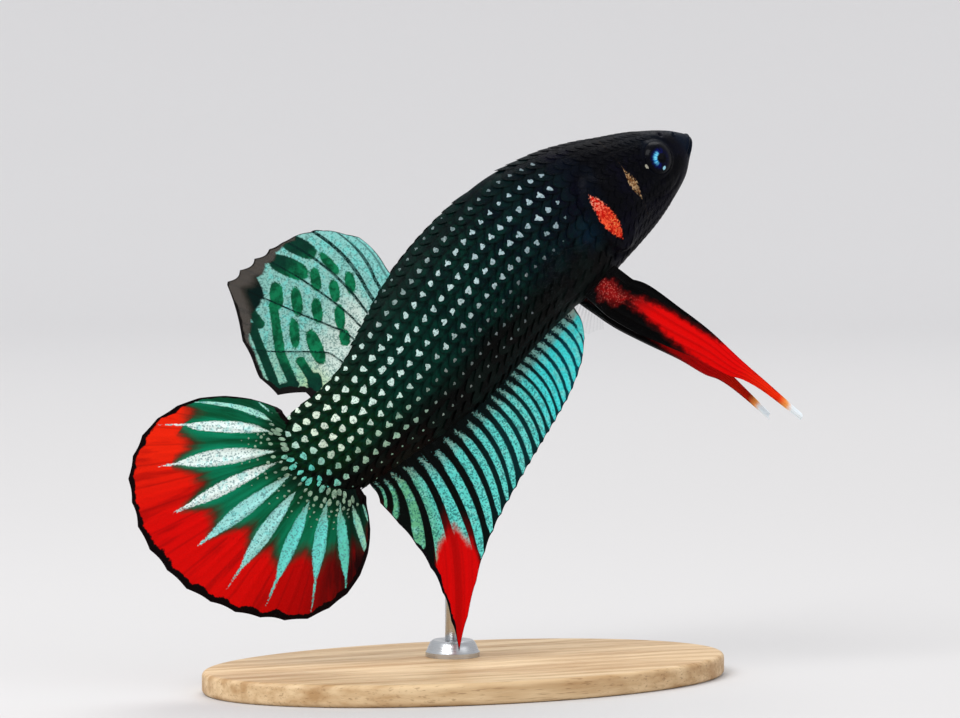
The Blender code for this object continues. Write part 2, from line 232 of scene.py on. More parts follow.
def set_field(mesh: Mesh, name: str, values: Array) -> None:
    """Store one number, or one vector, for each point of a mesh.

    Args:
        mesh: the mesh.
        name: the field's name.
        values: one number or one row for each point.
    """
    values = np.asarray(values, dtype=np.float32)
    kind, key = ("FLOAT", "value") if values.ndim == 1 else ("FLOAT_VECTOR", "vector")
    attribute = mesh.attributes.new(name, kind, "POINT")
    attribute.data.foreach_set(key, values.ravel())


def finish(item: Object, material: Material,
           replaced: Iterable[str] = (), smooth_angle: float = 40.0) -> Object:
    """Dress a finished piece and hand it to the frame.

    Args:
        item: the piece, at the origin, unturned and unscaled.
        material: its finish.
        replaced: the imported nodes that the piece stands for.
        smooth_angle: edges sharper than this many degrees stay sharp.

    Returns:
        The same piece.
    """
    item.data.materials.clear()
    item.data.materials.append(material)
    item.data.shade_smooth()
    item.data.set_sharp_from_angle(angle=math.radians(smooth_angle))
    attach(item, "root")
    if replaced:
        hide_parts(*replaced)
    LOG.info("%s: %d faces", item.name, len(item.data.polygons))
    return item


def link(name: str, data: object) -> Object:
    """Put new data into the scene.

    Args:
        name: the new object's name.
        data: its mesh, camera or light.

    Returns:
        The object.
    """
    item = bpy.data.objects.new(name, data)
    bpy.context.scene.collection.objects.link(item)
    return item


def copies(name: str, template: Object, places: Places) -> Object:
    """Join many copies of one small mesh into one piece, and remove the small one.

    Args:
        name: the new piece's name.
        template: the small piece.
        places: each copy's points on the straight fish, as arrays of copies by points.

    Returns:
        The joined piece.
    """
    count, size = places[0].shape
    faces = [tuple(polygon.vertices) for polygon in template.data.polygons]
    every = [tuple(corner + size * copy for corner in face)
             for copy in range(count) for face in faces]
    mesh = bpy.data.meshes.new(name)
    mesh.from_pydata(BODY.world(*(column.ravel() for column in places)), [], every)
    bpy.data.objects.remove(template, do_unlink=True)
    return link(name, mesh)


def grow_border(item: Object, *steps: Callable[[], object]) -> None:
    """Extrude the border of an open piece.

    Args:
        item: the piece.
        steps: what follows in edit mode, with the new border selected.
    """
    edit(item, lambda: bpy.ops.mesh.select_all(action="DESELECT"),
         bpy.ops.mesh.select_non_manifold, bpy.ops.mesh.extrude_edges_move, *steps)


def close_under(item: Object) -> None:
    """Draw a small piece's border in to one point underneath."""
    grow_border(item, lambda: bpy.ops.transform.translate(value=(0, 0, -1)),
                lambda: bpy.ops.mesh.merge(type="CENTER"))


def disc(corners: int) -> tuple[Object, Array, Array, Array]:
    """Model one spot, a disc that is closed underneath.

    Args:
        corners: how many corners it has.

    Returns:
        The disc, its points, which of them lies underneath, and which is its middle.
    """
    deselect_all()
    bpy.ops.mesh.primitive_circle_add(vertices=corners, radius=1.0, fill_type="TRIFAN")
    item = added("disc_template")
    close_under(item)
    shape = points_of(item.data)
    return item, shape, shape[:, 2] < -0.5, np.hypot(shape[:, 0], shape[:, 1]) < 0.1


def map_patches(mesh: Mesh, across: Array, up: Array) -> None:
    """Give a mesh the map that its finish is baked on.

    Args:
        mesh: the mesh.
        across, up: a place on the map for each point.
    """
    places = np.stack([across.ravel(), up.ravel()], axis=1)
    layer = mesh.uv_layers.new(name=BAKE_MAP)
    corners = np.empty(len(mesh.loops), dtype=np.int32)
    mesh.loops.foreach_get("vertex_index", corners)
    layer.data.foreach_set("uv", places[corners].astype(np.float32).ravel())


# ---------------------------------------------------------------- the straight fish


@dataclass(frozen=True)
class Body:
    """The fish's body and its pose. Lengths are in millimetres and angles in degrees."""

    sections: Rows = (
        (-0.6, 1.3, 0.9, 0.3, 1.0),
        (-0.3, 1.7, 0.45, 0.75, 1.0),
        (0.2, 2.25, -0.1, 1.15, 1.0),
        (0.9, 2.95, -0.65, 1.55, 1.0),
        (2.5, 4.2, -1.75, 2.2, 1.0),
        (4.9, 5.75, -2.6, 2.75, 1.0),
        (7.2, 6.95, -3.2, 3.05, 1.0),
        (9.6, 8.2, -3.6, 3.2, 1.0),
        (12.4, 9.4, -3.95, 3.3, 1.05),
        (14.5, 10.0, -4.15, 3.45, 1.1),
        (17.9, 10.7, -4.15, 3.5, 1.15),
        (21.0, 10.85, -4.3, 3.45, 1.2),
        (24.5, 10.65, -4.7, 3.3, 1.2),
        (28.0, 10.15, -5.25, 3.05, 1.2),
        (32.0, 9.05, -5.6, 2.7, 1.2),
        (36.0, 7.25, -5.55, 2.25, 1.2),
        (40.0, 5.5, -5.25, 1.75, 1.2),
        (43.0, 5.0, -5.0, 1.4, 1.2),
        (45.3, 4.85, -4.5, 1.0, 1.2),
        (46.6, 4.5, -3.35, 0.75, 1.2),
        (47.3, 3.95, -1.95, 0.55, 1.2),
        (47.7, 3.0, -0.5, 0.35, 1.2),
    )
    bend_radius: float = 160.0
    heading: float = 8.0
    pitch: float = 37.0
    snout_forward: float = 21.5
    snout_left: float = -1.5
    tip_clearance: float = 1.0
    lowest_tip: tuple[float, float] = (45.8, -22.6)
    coat_depth: float = 0.2
    eye: tuple[float, float] = (4.5, 2.15)
    mouth: tuple[float, float] = (-0.7, 1.25)
    mouth_slope: float = 27.0
    mouth_length: float = 2.2
    # the gill plate's middle and half size: millimetres behind, and degrees round the section
    gill: tuple[float, float] = (10.2, -14.0)
    gill_size: tuple[float, float] = (3.5, 47.0)
    gill_rise: float = 0.42
    gill_groove: float = 0.2
    cheek: tuple[float, float] = (5.0, 1.7)
    cheek_radius: float = 2.9
    nostril: tuple[float, float] = (2.35, 3.4)
    nostril_tube: tuple[float, float] = (1.15, 2.55)
    mouth_cleft: float = 0.34
    # how many points measure half the girth, roughly and finely
    rough_steps: int = 60
    fine_steps: int = 400

    def ends(self) -> tuple[float, float]:
        """Return where the body starts and ends behind the snout."""
        return self.sections[0][0], self.sections[-1][0]

    def section(self, behind: Array) -> Array:
        """Return the back, belly, half width and keel of sections."""
        return Profile(self.sections)(behind)

    def surface(self, behind: Array, angle: Array, lift: Array | float) -> Places:
        """Return points of the straight body's surface, or points lifted off it.

        Args:
            behind: how far each point lies behind the snout.
            angle: its turn round the section, in radians from the fish's left, upwards.
            lift: how far it is lifted off the surface.

        Returns:
            Each point's distance behind the snout, to the left and up.
        """
        back, belly, half_width, keel = self.section(behind)
        half_height = (back - belly) / 2
        side, rise = np.cos(angle), np.sin(angle)
        left = half_width * np.sign(side) * np.abs(side) ** keel
        up = (back + belly) / 2 + half_height * rise
        out, over = side / half_width, rise / half_height
        length = np.hypot(out, over)
        return behind, left + lift * out / length, up + lift * over / length

    def bent(self, behind: Array, left: Array, up: Array) -> Array:
        """Bend and pitch points of the straight fish.

        Args:
            behind, left, up: places on the straight fish.

        Returns:
            The points, one row each, in millimetres from the snout.
        """
        start = math.radians(self.heading)
        heading = start - behind / self.bend_radius
        forward = self.bend_radius * (np.sin(heading) - math.sin(start)) - left * np.sin(heading)
        sideways = self.bend_radius * (math.cos(start) - np.cos(heading)) + left * np.cos(heading)
        tilt = math.radians(self.pitch)
        along = forward * math.cos(tilt) - up * math.sin(tilt)
        over = forward * math.sin(tilt) + up * math.cos(tilt)
        return np.stack([along, sideways, over], axis=-1)

    def snout(self) -> Array:
        """Work out where the snout is, so that the lowest fin clears the stand's base.

        Returns:
            The snout's place in millimetres.
        """
        behind, up = np.array(self.lowest_tip)[:, None]
        tip = self.bent(behind, np.zeros(1), up)
        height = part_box("stand_base")[1].z / MM + self.tip_clearance - tip[0, 2]
        return np.array([self.snout_forward, self.snout_left, height])

    def world(self, behind: Array, left: Array, up: Array) -> Array:
        """Return world points in metres from places on the straight fish."""
        return (self.bent(behind, left, up) + self.snout()) * MM

    def straight(self, points: Array) -> Places:
        """Undo the fish's place, pitch and bend.

        Args:
            points: world points in metres, one row each.

        Returns:
            Their places on the straight fish.
        """
        along, sideways, over = (points / MM - self.snout()).T
        tilt, start = math.radians(self.pitch), math.radians(self.heading)
        forward = along * math.cos(tilt) + over * math.sin(tilt)
        up = over * math.cos(tilt) - along * math.sin(tilt)
        across = forward + self.bend_radius * math.sin(start)
        ahead = self.bend_radius * math.cos(start) - sideways
        behind = (start - np.arctan2(across, ahead)) * self.bend_radius
        return behind, self.bend_radius - np.hypot(across, ahead), up

    def relief(self, behind: Array, up: Array, angle: Array) -> Array:
        """Return how far the head's forms stand over, or lie under, the plain surface.

        Args:
            behind, up: places on the straight fish.
            angle: turn round the section from the flank, from -90 to 90 degrees, in radians.

        Returns:
            The rise of the surface in millimetres.
        """
        return (self.gill_relief(behind, angle) + self.cheek_relief(behind, up, angle)
                + self.eye_relief(behind, up) + self.mouth_relief(behind, up))

    def gill_relief(self, behind: Array, angle: Array) -> Array:
        """Make the gill cover's plate, soft in front and with a free edge behind.

        Args:
            behind, angle: places on the surface, as relief takes them.

        Returns:
            Its rise.
        """
        across = (behind - self.gill[0]) / self.gill_size[0]
        down = (np.degrees(angle) - self.gill[1]) / self.gill_size[1]
        radius = np.hypot(across, down)
        rear = smooth(across / np.maximum(radius, 1e-6), -0.2, 0.6)
        plate = smooth((1.0 - radius) / (0.85 - 0.72 * rear), 0.0, 1.0)
        edge = bell(radius - 0.93, 0.05)
        groove = bell(radius - 1.07, 0.06)
        return self.gill_rise * plate + rear * (0.07 * edge - self.gill_groove * groove)

    def cheek_relief(self, behind: Array, up: Array, angle: Array) -> Array:
        """Make the groove behind the cheek and the folds under the gill cover.

        Args:
            behind, up, angle: places on the surface, as relief takes them.

        Returns:
            Their rise.
        """
        aft, over = behind - self.cheek[0], up - self.cheek[1]
        turn = np.degrees(np.arctan2(over, aft))
        groove = bell(np.hypot(aft, over) - self.cheek_radius, 0.16)
        groove = groove * smooth(turn, -140, -110) * (1 - smooth(turn, 10, 40))
        below = np.degrees(angle)
        folds = np.cos(np.radians(below * 30)) * (1 - smooth(below, -62, -52))
        return -0.08 * groove + 0.04 * folds * smooth(behind, 3, 5) * (1 - smooth(behind, 10.5, 12))

    def eye_relief(self, behind: Array, up: Array) -> Array:
        """Make the rim round the eye, the brow over it and the two nostrils.

        Args:
            behind, up: places on the straight fish.

        Returns:
            Their rise.
        """
        aft, over = behind - self.eye[0], up - self.eye[1]
        radius = np.hypot(aft, over)
        rim = 0.09 * bell(radius - 1.52, 0.13) - 0.07 * bell(radius - 1.95, 0.2)
        brow = 0.12 * bell(np.hypot(aft, over - 1.75), 0.55)
        pit = -0.24 * bell(np.hypot(behind - self.nostril[0], up - self.nostril[1]), 0.15)
        tube = np.hypot(behind - self.nostril_tube[0], up - self.nostril_tube[1])
        return rim + brow + pit + 0.1 * bell(tube - 0.15, 0.08) - 0.12 * bell(tube, 0.09)

    def mouth_relief(self, behind: Array, up: Array) -> Array:
        """Make the cleft of the upturned mouth between its two lips.

        Args:
            behind, up: places on the straight fish.

        Returns:
            Its rise.
        """
        slope, length = math.radians(self.mouth_slope), self.mouth_length
        along = (behind - self.mouth[0]) / math.cos(slope)
        over = (up - self.mouth[1]) * math.cos(slope) + (behind - self.mouth[0]) * math.sin(slope)
        cleft = bell(over, 0.075) * (1 - smooth(along, length - 0.35, length + 0.1))
        lips = bell(np.abs(over) - 0.26, 0.15) * (1 - smooth(along, length - 0.7, length + 0.2))
        chin = bell(over + 0.75, 0.12) * (1 - smooth(along, 1.6, 2.6))
        return -self.mouth_cleft * cleft + 0.1 * lips - 0.05 * chin

    def depth(self, behind: Array) -> Array:
        """Return how deep the skin lies under the coat's outside."""
        return self.coat_depth * (0.2 + 0.8 * smooth(behind, self.ends()[0], 6.0))

    def half_girth(self, behind: Array) -> Array:
        """Measure from the back's ridge round one flank to the belly's.

        Args:
            behind: the sections' places.

        Returns:
            The lengths in millimetres.
        """
        turns = np.linspace(math.pi / 2, -math.pi / 2, self.rough_steps)
        across = np.repeat(behind[:, None], self.rough_steps, axis=1)
        _, left, up = self.surface(across, turns[None, :], 0.0)
        return np.sum(np.hypot(np.diff(left, axis=1), np.diff(up, axis=1)), axis=1)

    def perimeter(self, stations: int = 160, steps: int = 96) -> tuple[Array, Array]:
        """Share half the girth of sections out evenly.

        Args:
            stations: how many sections are measured.
            steps: how many shares the half girth is cut into.

        Returns:
            The stations, and for each the angles from the back down to the belly.
        """
        behind = np.linspace(*self.ends(), stations)
        fine = np.linspace(math.pi / 2, -math.pi / 2, self.fine_steps)
        shares = np.linspace(0, 1, steps + 1)
        angles = np.empty((stations, steps + 1))
        for row, station in enumerate(behind):
            _, left, up = self.surface(np.full(self.fine_steps, station), fine, 0.0)
            length = np.concatenate([[0.0], np.cumsum(np.hypot(np.diff(left), np.diff(up)))])
            angles[row] = np.interp(shares, length / length[-1], fine)
        return behind, angles


BODY = Body()


# ---------------------------------------------------------------- shader helpers


class Wire:
    """One output of a node. Plain arithmetic on it adds the nodes that do the sum."""

    def __init__(self, tree: "Tree", socket: bpy.types.NodeSocket) -> None:
        """Keep the tree and the output."""
        self.tree, self.socket = tree, socket

    def __add__(self, other: "Wire | float") -> "Wire":
        """Return the sum."""
        return self.tree.math("ADD", self, other)

    def __sub__(self, other: "Wire | float") -> "Wire":
        """Return the difference."""
        return self.tree.math("SUBTRACT", self, other)

    def __rsub__(self, other: float) -> "Wire":
        """Return a plain number less this one."""
        return self.tree.math("SUBTRACT", other, self)

    def __mul__(self, other: "Wire | float") -> "Wire":
        """Return the product."""
        return self.tree.math("MULTIPLY", self, other)

    def __truediv__(self, other: float) -> "Wire":
        """Return the quotient."""
        return self.tree.math("DIVIDE", self, other)

    def __pow__(self, other: float) -> "Wire":
        """Return the power."""
        return self.tree.math("POWER", self, other)

    def __abs__(self) -> "Wire":
        """Return the number without its sign."""
        return self.tree.math("ABSOLUTE", self)

    def step(self, low: float, high: float, start: float = 0.0, end: float = 1.0) -> "Wire":
        """Return a smooth step from start to end between two values of the number."""
        inputs = dict(enumerate((self, low, high, start, end)))
        return self.tree.node("MapRange", 0, inputs, interpolation_type="SMOOTHSTEP")

    def near(self, centre: float, width: float) -> "Wire":
        """Return 1 where the number is at a centre, falling to 0 a width away."""
        return abs(self - centre).step(0.0, width, 1.0, 0.0)

    def parts(self) -> list["Wire"]:
        """Return the three parts of a vector or colour."""
        first = self.tree.node("SeparateXYZ", 0, {0: self})
        return [Wire(self.tree, socket) for socket in first.socket.node.outputs]


class Tree:
    """A node tree with short calls for the nodes that the finishes need."""

    def __init__(self, tree: NodeTree) -> None:
        """Keep the tree."""
        self.tree, self.nodes = tree, tree.nodes

    def feed(self, socket: bpy.types.NodeSocket, value: Feed) -> None:
        """Feed one input of a node.

        Args:
            socket: the input.
            value: another node's output, a plain number, or a colour in screen values.
        """
        if isinstance(value, Wire):
            self.tree.links.new(value.socket, socket)
        else:
            socket.default_value = srgb(*value) if isinstance(value, tuple) else value

    def node(self, kind: str, output: int | str, inputs: dict, **settings: object) -> Wire:
        """Add a node.

        Args:
            kind: its type, after the word ShaderNode.
            output: the number or name of the output to return.
            inputs: what to feed, by the inputs' numbers or names.
            settings: its options.

        Returns:
            The output.
        """
        node = self.nodes.new("ShaderNode" + kind)
        for name, value in settings.items():
            setattr(node, name, value)
        for socket, value in inputs.items():
            self.feed(node.inputs[socket], value)
        return Wire(self, node.outputs[output])

    def math(self, operation: str, *values: Feed) -> Wire:
        """Return the result of one operation on numbers."""
        return self.node("Math", 0, dict(enumerate(values)), operation=operation)

    def mix(self, share: Feed, under: Feed, over: Feed, blend: str = "MIX") -> Wire:
        """Return a mix of two colours, with a share of the second."""
        inputs = {0: share, 6: under, 7: over}
        return self.node("Mix", 2, inputs, data_type="RGBA", blend_type=blend)

    def coats(self, ground: Feed, *layers: tuple[Wire, Feed]) -> Wire:
        """Lay coats of colour over each other.

        Args:
            ground: the first colour.
            layers: for each coat, its share and its colour.

        Returns:
            The colour on top.
        """
        for share, colour in layers:
            ground = self.mix(share, ground, colour)
        return ground

    def noise(self, place: Wire, scale: float, detail: float = 2.0, rough: float = 0.5) -> Wire:
        """Return soft noise from 0 to 1."""
        inputs = {"Vector": place, "Scale": scale, "Detail": detail, "Roughness": rough}
        return self.node("TexNoise", "Fac", inputs)

    def cells(self, place: Wire, scale: float, output: str) -> Wire:
        """Return the Color or the Distance of a cell texture."""
        return self.node("TexVoronoi", output, {"Vector": place, "Scale": scale})

    def join(self, *numbers: Feed) -> Wire:
        """Return a vector of three numbers."""
        return self.node("CombineXYZ", 0, dict(enumerate(numbers)))

    def fields(self, *names: str) -> list[Wire]:
        """Return numbers stored on the surface."""
        return [self.node("Attribute", "Fac", {}, attribute_name=name) for name in names]

    def vector(self, name: str) -> Wire:
        """Return a vector or colour stored on the surface."""
        return self.node("Attribute", "Vector", {}, attribute_name=name)

    def place(self) -> Wire:
        """Return the piece's own coordinates, in metres."""
        return self.node("TexCoord", "Object", {})

    def bump(self, height: Wire, depth: float) -> Wire:
        """Return a normal for a height whose full range is a depth in metres."""
        return self.node("Bump", "Normal", {"Strength": 1.0, "Distance": depth, "Height": height})

    def group(self, group: NodeTree, **inputs: Feed) -> dict[str, Wire]:
        """Place a node group, feed its inputs by name and return its outputs by name."""
        first = self.node("Group", 0, inputs, node_tree=group)
        return {socket.name: Wire(self, socket) for socket in first.socket.node.outputs}


class Paint(Tree):
    """A new material's node tree with its Principled shader."""

    def __init__(self, name: str, **settings: Feed) -> None:
        """Make the material.

        Args:
            name: its name.
            settings: what to feed its shader, as dress takes it.
        """
        self.material = bpy.data.materials.new(name)
        self.material.use_nodes = True
        super().__init__(self.material.node_tree)
        self.dress(**settings)

    def dress(self, **settings: Feed) -> Material:
        """Feed the shader's sockets.

        Args:
            settings: values by the sockets' names, with underscores for spaces.

        Returns:
            The material.
        """
        for socket, value in settings.items():
            self.feed(self.nodes["Principled BSDF"].inputs[socket.replace("_", " ")], value)
        return self.material


class Group(Tree):
    """A new shader node group with named inputs and outputs."""

    def __init__(self, name: str, inputs: dict[str, str], outputs: dict[str, str]) -> None:
        """Make the group.

        Args:
            name: its name.
            inputs: its inputs' names and their kinds: Float, Vector or Color.
            outputs: its outputs' names and kinds.
        """
        super().__init__(bpy.data.node_groups.new(name, "ShaderNodeTree"))
        for sockets, way in ((inputs, "INPUT"), (outputs, "OUTPUT")):
            for label, kind in sockets.items():
                kind = "NodeSocket" + kind
                self.tree.interface.new_socket(label, in_out=way, socket_type=kind)
        start, self.end = self.nodes.new("NodeGroupInput"), self.nodes.new("NodeGroupOutput")
        self.given = {label: Wire(self, start.outputs[label]) for label in inputs}

    def put(self, **outputs: Wire) -> NodeTree:
        """Feed the group's outputs.

        Args:
            outputs: values by the outputs' names.

        Returns:
            The finished group.
        """
        for label, value in outputs.items():
            self.feed(self.end.inputs[label], value)
        return self.tree


def make_glitter() -> NodeTree:
    """Make the group for the shining grains that lie in the pale markings.

    Returns:
        The group. Grain is a number for each grain, and Cloud drifts over many grains.
    """
    group = Group("glitter", {"Vector": "Vector"}, {"Grain": "Float", "Cloud": "Float"})
    place = group.given["Vector"]
    grain = group.cells(place, 8200, "Color").parts()[0]
    return group.put(Grain=grain, Cloud=group.noise(place, 1500, 3.0, 0.6))


def make_dark_margin() -> NodeTree:
    """Make the group for a fin's dark margin with its ragged inner edge.

    Returns:
        The group. Mask is 1 on the margin, from the distance to it and its width in mm.
    """
    inputs = {"Vector": "Vector", "Edge": "Float", "Width": "Float"}
    group = Group("dark_margin", inputs, {"Mask": "Float"})
    noise = group.noise(group.given["Vector"], 560, 4.0, 0.62)
    ragged = group.math("MAXIMUM", group.math("MULTIPLY_ADD", noise, 3.2, -0.6), 0.35)
    inside = group.given["Edge"] - group.given["Width"] * ragged
    return group.put(Mask=inside.step(-0.05, 0.08, 1.0, 0.0))


class BodyMarkings(Group):
    """The group that colours skin and scales alike from their place on the fish."""

    def __init__(self) -> None:
        """Make the group and the patterns that its colours share."""
        super().__init__("body_markings", {"Vector": "Vector", "Place": "Vector", "Level": "Float"},
                         {"Color": "Color", "Bar": "Float", "Head": "Float"})
        place = self.given["Vector"]
        self.behind, _, self.up = self.given["Place"].parts()
        self.patches = self.noise(place, 330, 3.0, 0.55)
        self.drift = self.noise(place, 210, 2.0)
        self.grain = self.cells(place, 7000, "Color").parts()[0]
        self.ragged = (self.grain - 0.5) * 0.22

    def head(self) -> Wire:
        """Make the head's colour: blue-black, with painted sheen in patches and on the teal lips.

        Returns:
            The colour.
        """
        # painted sheen: purple and teal patches over the head, and a teal sheen on the lips
        return self.coats((4, 5, 13), (self.patches.step(0.42, 0.62), (9, 7, 22)),
                          (self.drift.step(0.52, 0.68, 0.0, 0.8), (5, 14, 24)),
                          (self.behind.step(0.9, 1.8, 1.0, 0.0) * 0.5, (8, 26, 40)))

    def flank(self) -> Wire:
        """Make the trunk's and the tail's colour, bluer in front and greener behind.

        Returns:
            The colour.
        """
        behind, level = self.behind, self.given["Level"]
        mottle = self.noise(self.given["Vector"], 1900, 3.0, 0.6)
        low = level + (self.patches - 0.5) * 0.5
        maroon = behind.near(39.5, 5.5) * self.up.near(-4.6, 2.4)
        return self.coats(
            (6, 9, 24),
            (behind.step(13.5, 18), (2, 18, 27)),
            (behind.step(19, 26), (3, 27, 28)),
            (behind.step(27, 34), (5, 38, 32)),
            (behind.step(35, 42), (11, 44, 20)),
            (mottle.step(0.4, 0.65, 0.0, 0.5) * behind.step(15, 26, 0.2, 1.0), (5, 58, 46)),
            (level.step(0.45, 0.95, 0.0, 0.5), (6, 16, 14)),
            (low.step(-0.56, -0.1, 1.0, 0.0), (7, 7, 6)),
            (maroon * 0.5, (30, 8, 8)),
        )

    def bar(self) -> tuple[Wire, Wire]:
        """Make the red leaf-shaped bar of the gill cover.

        Returns:
            Its mask and its colour.
        """
        height = self.up - 2.0
        bow = height * height * -0.006
        middle = self.math("MULTIPLY_ADD", height, 0.095, 12.38) + bow
        reach = (height + bow * -2.0) / 2.85
        half = 0.72 - abs(reach) ** 2.6 * 0.86 - reach * 0.33
        inside = half - abs(self.behind - middle)
        flakes = self.cells(self.join(self.behind, self.up, 0.0), 5.2, "Distance")
        pale = flakes.step(0.1, 0.5, 1.0, 0.0) * self.up.near(0.35, 1.4)
        top = self.up.step(1.6, 3.4) * self.grain.step(0.4, 0.7)
        red = self.coats((196, 26, 16), (self.grain.step(0.35, 0.75), (240, 84, 52)),
                         (pale * 0.85, (250, 160, 90)), (top * 0.7, (236, 150, 124)))
        return (inside + self.ragged).step(-0.02, 0.12), red

    def cheek(self, colour: Wire) -> Wire:
        """Lay the broken tan line and the fleck of the cheek over a colour.

        Args:
            colour: the head's colour.

        Returns:
            The colour on top.
        """
        line = self.math("MULTIPLY_ADD", self.up, -0.075, 8.36)
        inside = self.up.near(2.1, 1.95) * 0.5 - abs(self.behind - line)
        broken = (inside * 1.8 + (self.grain - 0.6)).step(-0.15, 0.15)
        tan = self.mix(self.grain.step(0.5, 0.8), (116, 76, 44), (176, 146, 108))
        fleck = self.behind.near(6.0, 0.26) * self.up.near(2.35, 0.4)
        return self.coats(colour, (broken * inside.step(-0.02, 0.05), tan),
                          ((fleck + self.ragged).step(0.4, 0.55), (150, 146, 132)))

    def build(self) -> NodeTree:
        """Join the colours of head, flank, bar and cheek.

        Returns:
            The group. Bar is 1 on the red bar, and Head is 1 on the head.
        """
        is_head = (self.behind + self.drift * 2.0).step(13.4, 16.4, 1.0, 0.0)
        teal = self.behind.near(14.6, 1.9) * self.up.near(1.2, 2.4)
        bar, red = self.bar()
        colour = self.coats(self.flank(), (is_head, self.head()), (teal * 0.3, (8, 46, 66)),
                            (bar, red))
        return self.put(Color=self.cheek(colour), Bar=bar, Head=is_head)


# ---------------------------------------------------------------- finishes


@dataclass(frozen=True)
class SkinFinish:
    """Blue-black skin of the head, green-black on the trunk, with the bars of the gill cover."""

    roughness: float = 0.42
    shine: float = 0.05
    pore_depth: float = 0.00002

    def material(self, markings: NodeTree) -> Material:
        """Make the skin's material.

        Args:
            markings: the group that colours the body.

        Returns:
            The material.
        """
        paint = Paint("dark_skin", Specular_IOR_Level=self.shine)
        place, (level,) = paint.place(), paint.fields("level")
        marks = paint.group(markings, Vector=place, Place=paint.vector("place"), Level=level)
        pores = paint.noise(place, 3600, 3.0, 0.65)
        rough = pores.step(0.3, 0.7, self.roughness - 0.07, self.roughness + 0.12)
        return paint.dress(Base_Color=marks["Color"], Roughness=rough,
                           Normal=paint.bump(pores, self.pore_depth))


@dataclass(frozen=True)
class ScaleFinish:
    """Scales in the skin's own colours, darker at their rims and finely ridged."""

    roughness: float = 0.4
    shine: float = 0.045
    ridge_depth: float = 0.00004

    def material(self, markings: NodeTree) -> Material:
        """Make the scales' material.

        Args:
            markings: the group that colours the body.

        Returns:
            The material.
        """
        paint = Paint("dark_scales", Specular_IOR_Level=self.shine)
        place, (level,) = paint.place(), paint.fields("level")
        marks = paint.group(markings, Vector=place, Place=paint.vector("place"), Level=level)
        along, across, chance = paint.vector("lobe").parts()
        rim = paint.math("MAXIMUM", abs(across).step(0.55, 1.0), along.step(0.86, 1.0))
        rim = rim * (1.0 - marks["Bar"]) * marks["Head"].step(0.0, 1.0, 0.65, 0.3)
        tint = paint.mix(rim, marks["Color"], (2, 7, 8))
        lighter = paint.mix(chance.step(0.3, 1.0) * 0.35, tint, (40, 90, 78), "SCREEN")
        ridges = paint.noise(paint.join(along * 2.0, across * 9.0, chance), 1.6, 2.0)
        rough = ridges.step(0.3, 0.7, self.roughness - 0.06, self.roughness + 0.1)
        return paint.dress(Base_Color=paint.mix((1.0 - marks["Head"]) * 0.12, tint, lighter),
                           Roughness=rough, Normal=paint.bump(ridges, self.ridge_depth))


@dataclass(frozen=True)
class SpotFinish:
    """The mint-white shining spots, each in its own tint, with darker grains in them."""

    roughness: float = 0.45
    shine: float = 0.15
    dark: Tone = (48, 84, 80)
    light: Tone = (232, 246, 240)

    def material(self, glitter: NodeTree) -> Material:
        """Make the spots' material.

        Args:
            glitter: the group of shining grains.

        Returns:
            The material.
        """
        paint = Paint("scale_spots", Roughness=self.roughness, Specular_IOR_Level=self.shine)
        grains = paint.group(glitter, Vector=paint.place())
        grain, cloud = grains["Grain"], grains["Cloud"]
        colour = paint.coats(paint.vector("tint"), (grain.step(0.5, 0.95, 0.0, 0.6), self.dark),
                             (cloud.step(0.55, 0.75, 0.0, 0.35), self.light))
        return paint.dress(Base_Color=colour, Normal=paint.bump(grain, 0.00002))


@dataclass(frozen=True)
class FinFinish:
    """What the fins' finishes share: a shine, grains in the membrane and a dark margin."""

    roughness: float = 0.46
    shine: float = 0.05
    grain_depth: float = 0.000018
    margin_tone: Tone = (16, 5, 8)

    def start(self, name: str, glitter: NodeTree) -> tuple[Paint, Wire, Wire]:
        """Start a fin's material.

        Args:
            name: the material's name.
            glitter: the group of shining grains.

        Returns:
            The material's paint, the grains and the clouds over them.
        """
        paint = Paint(name, Roughness=self.roughness, Specular_IOR_Level=self.shine)
        grains = paint.group(glitter, Vector=paint.place())
        paint.dress(Normal=paint.bump(grains["Grain"], self.grain_depth))
        return paint, grains["Grain"], grains["Cloud"]

    def rim(self, paint: Paint, margin: NodeTree, edge: Wire, width: Wire) -> Wire:
        """Return where a fin's dark margin is, from the distance to it and its width in mm."""
        return paint.group(margin, Vector=paint.place(), Edge=edge, Width=width)["Mask"]


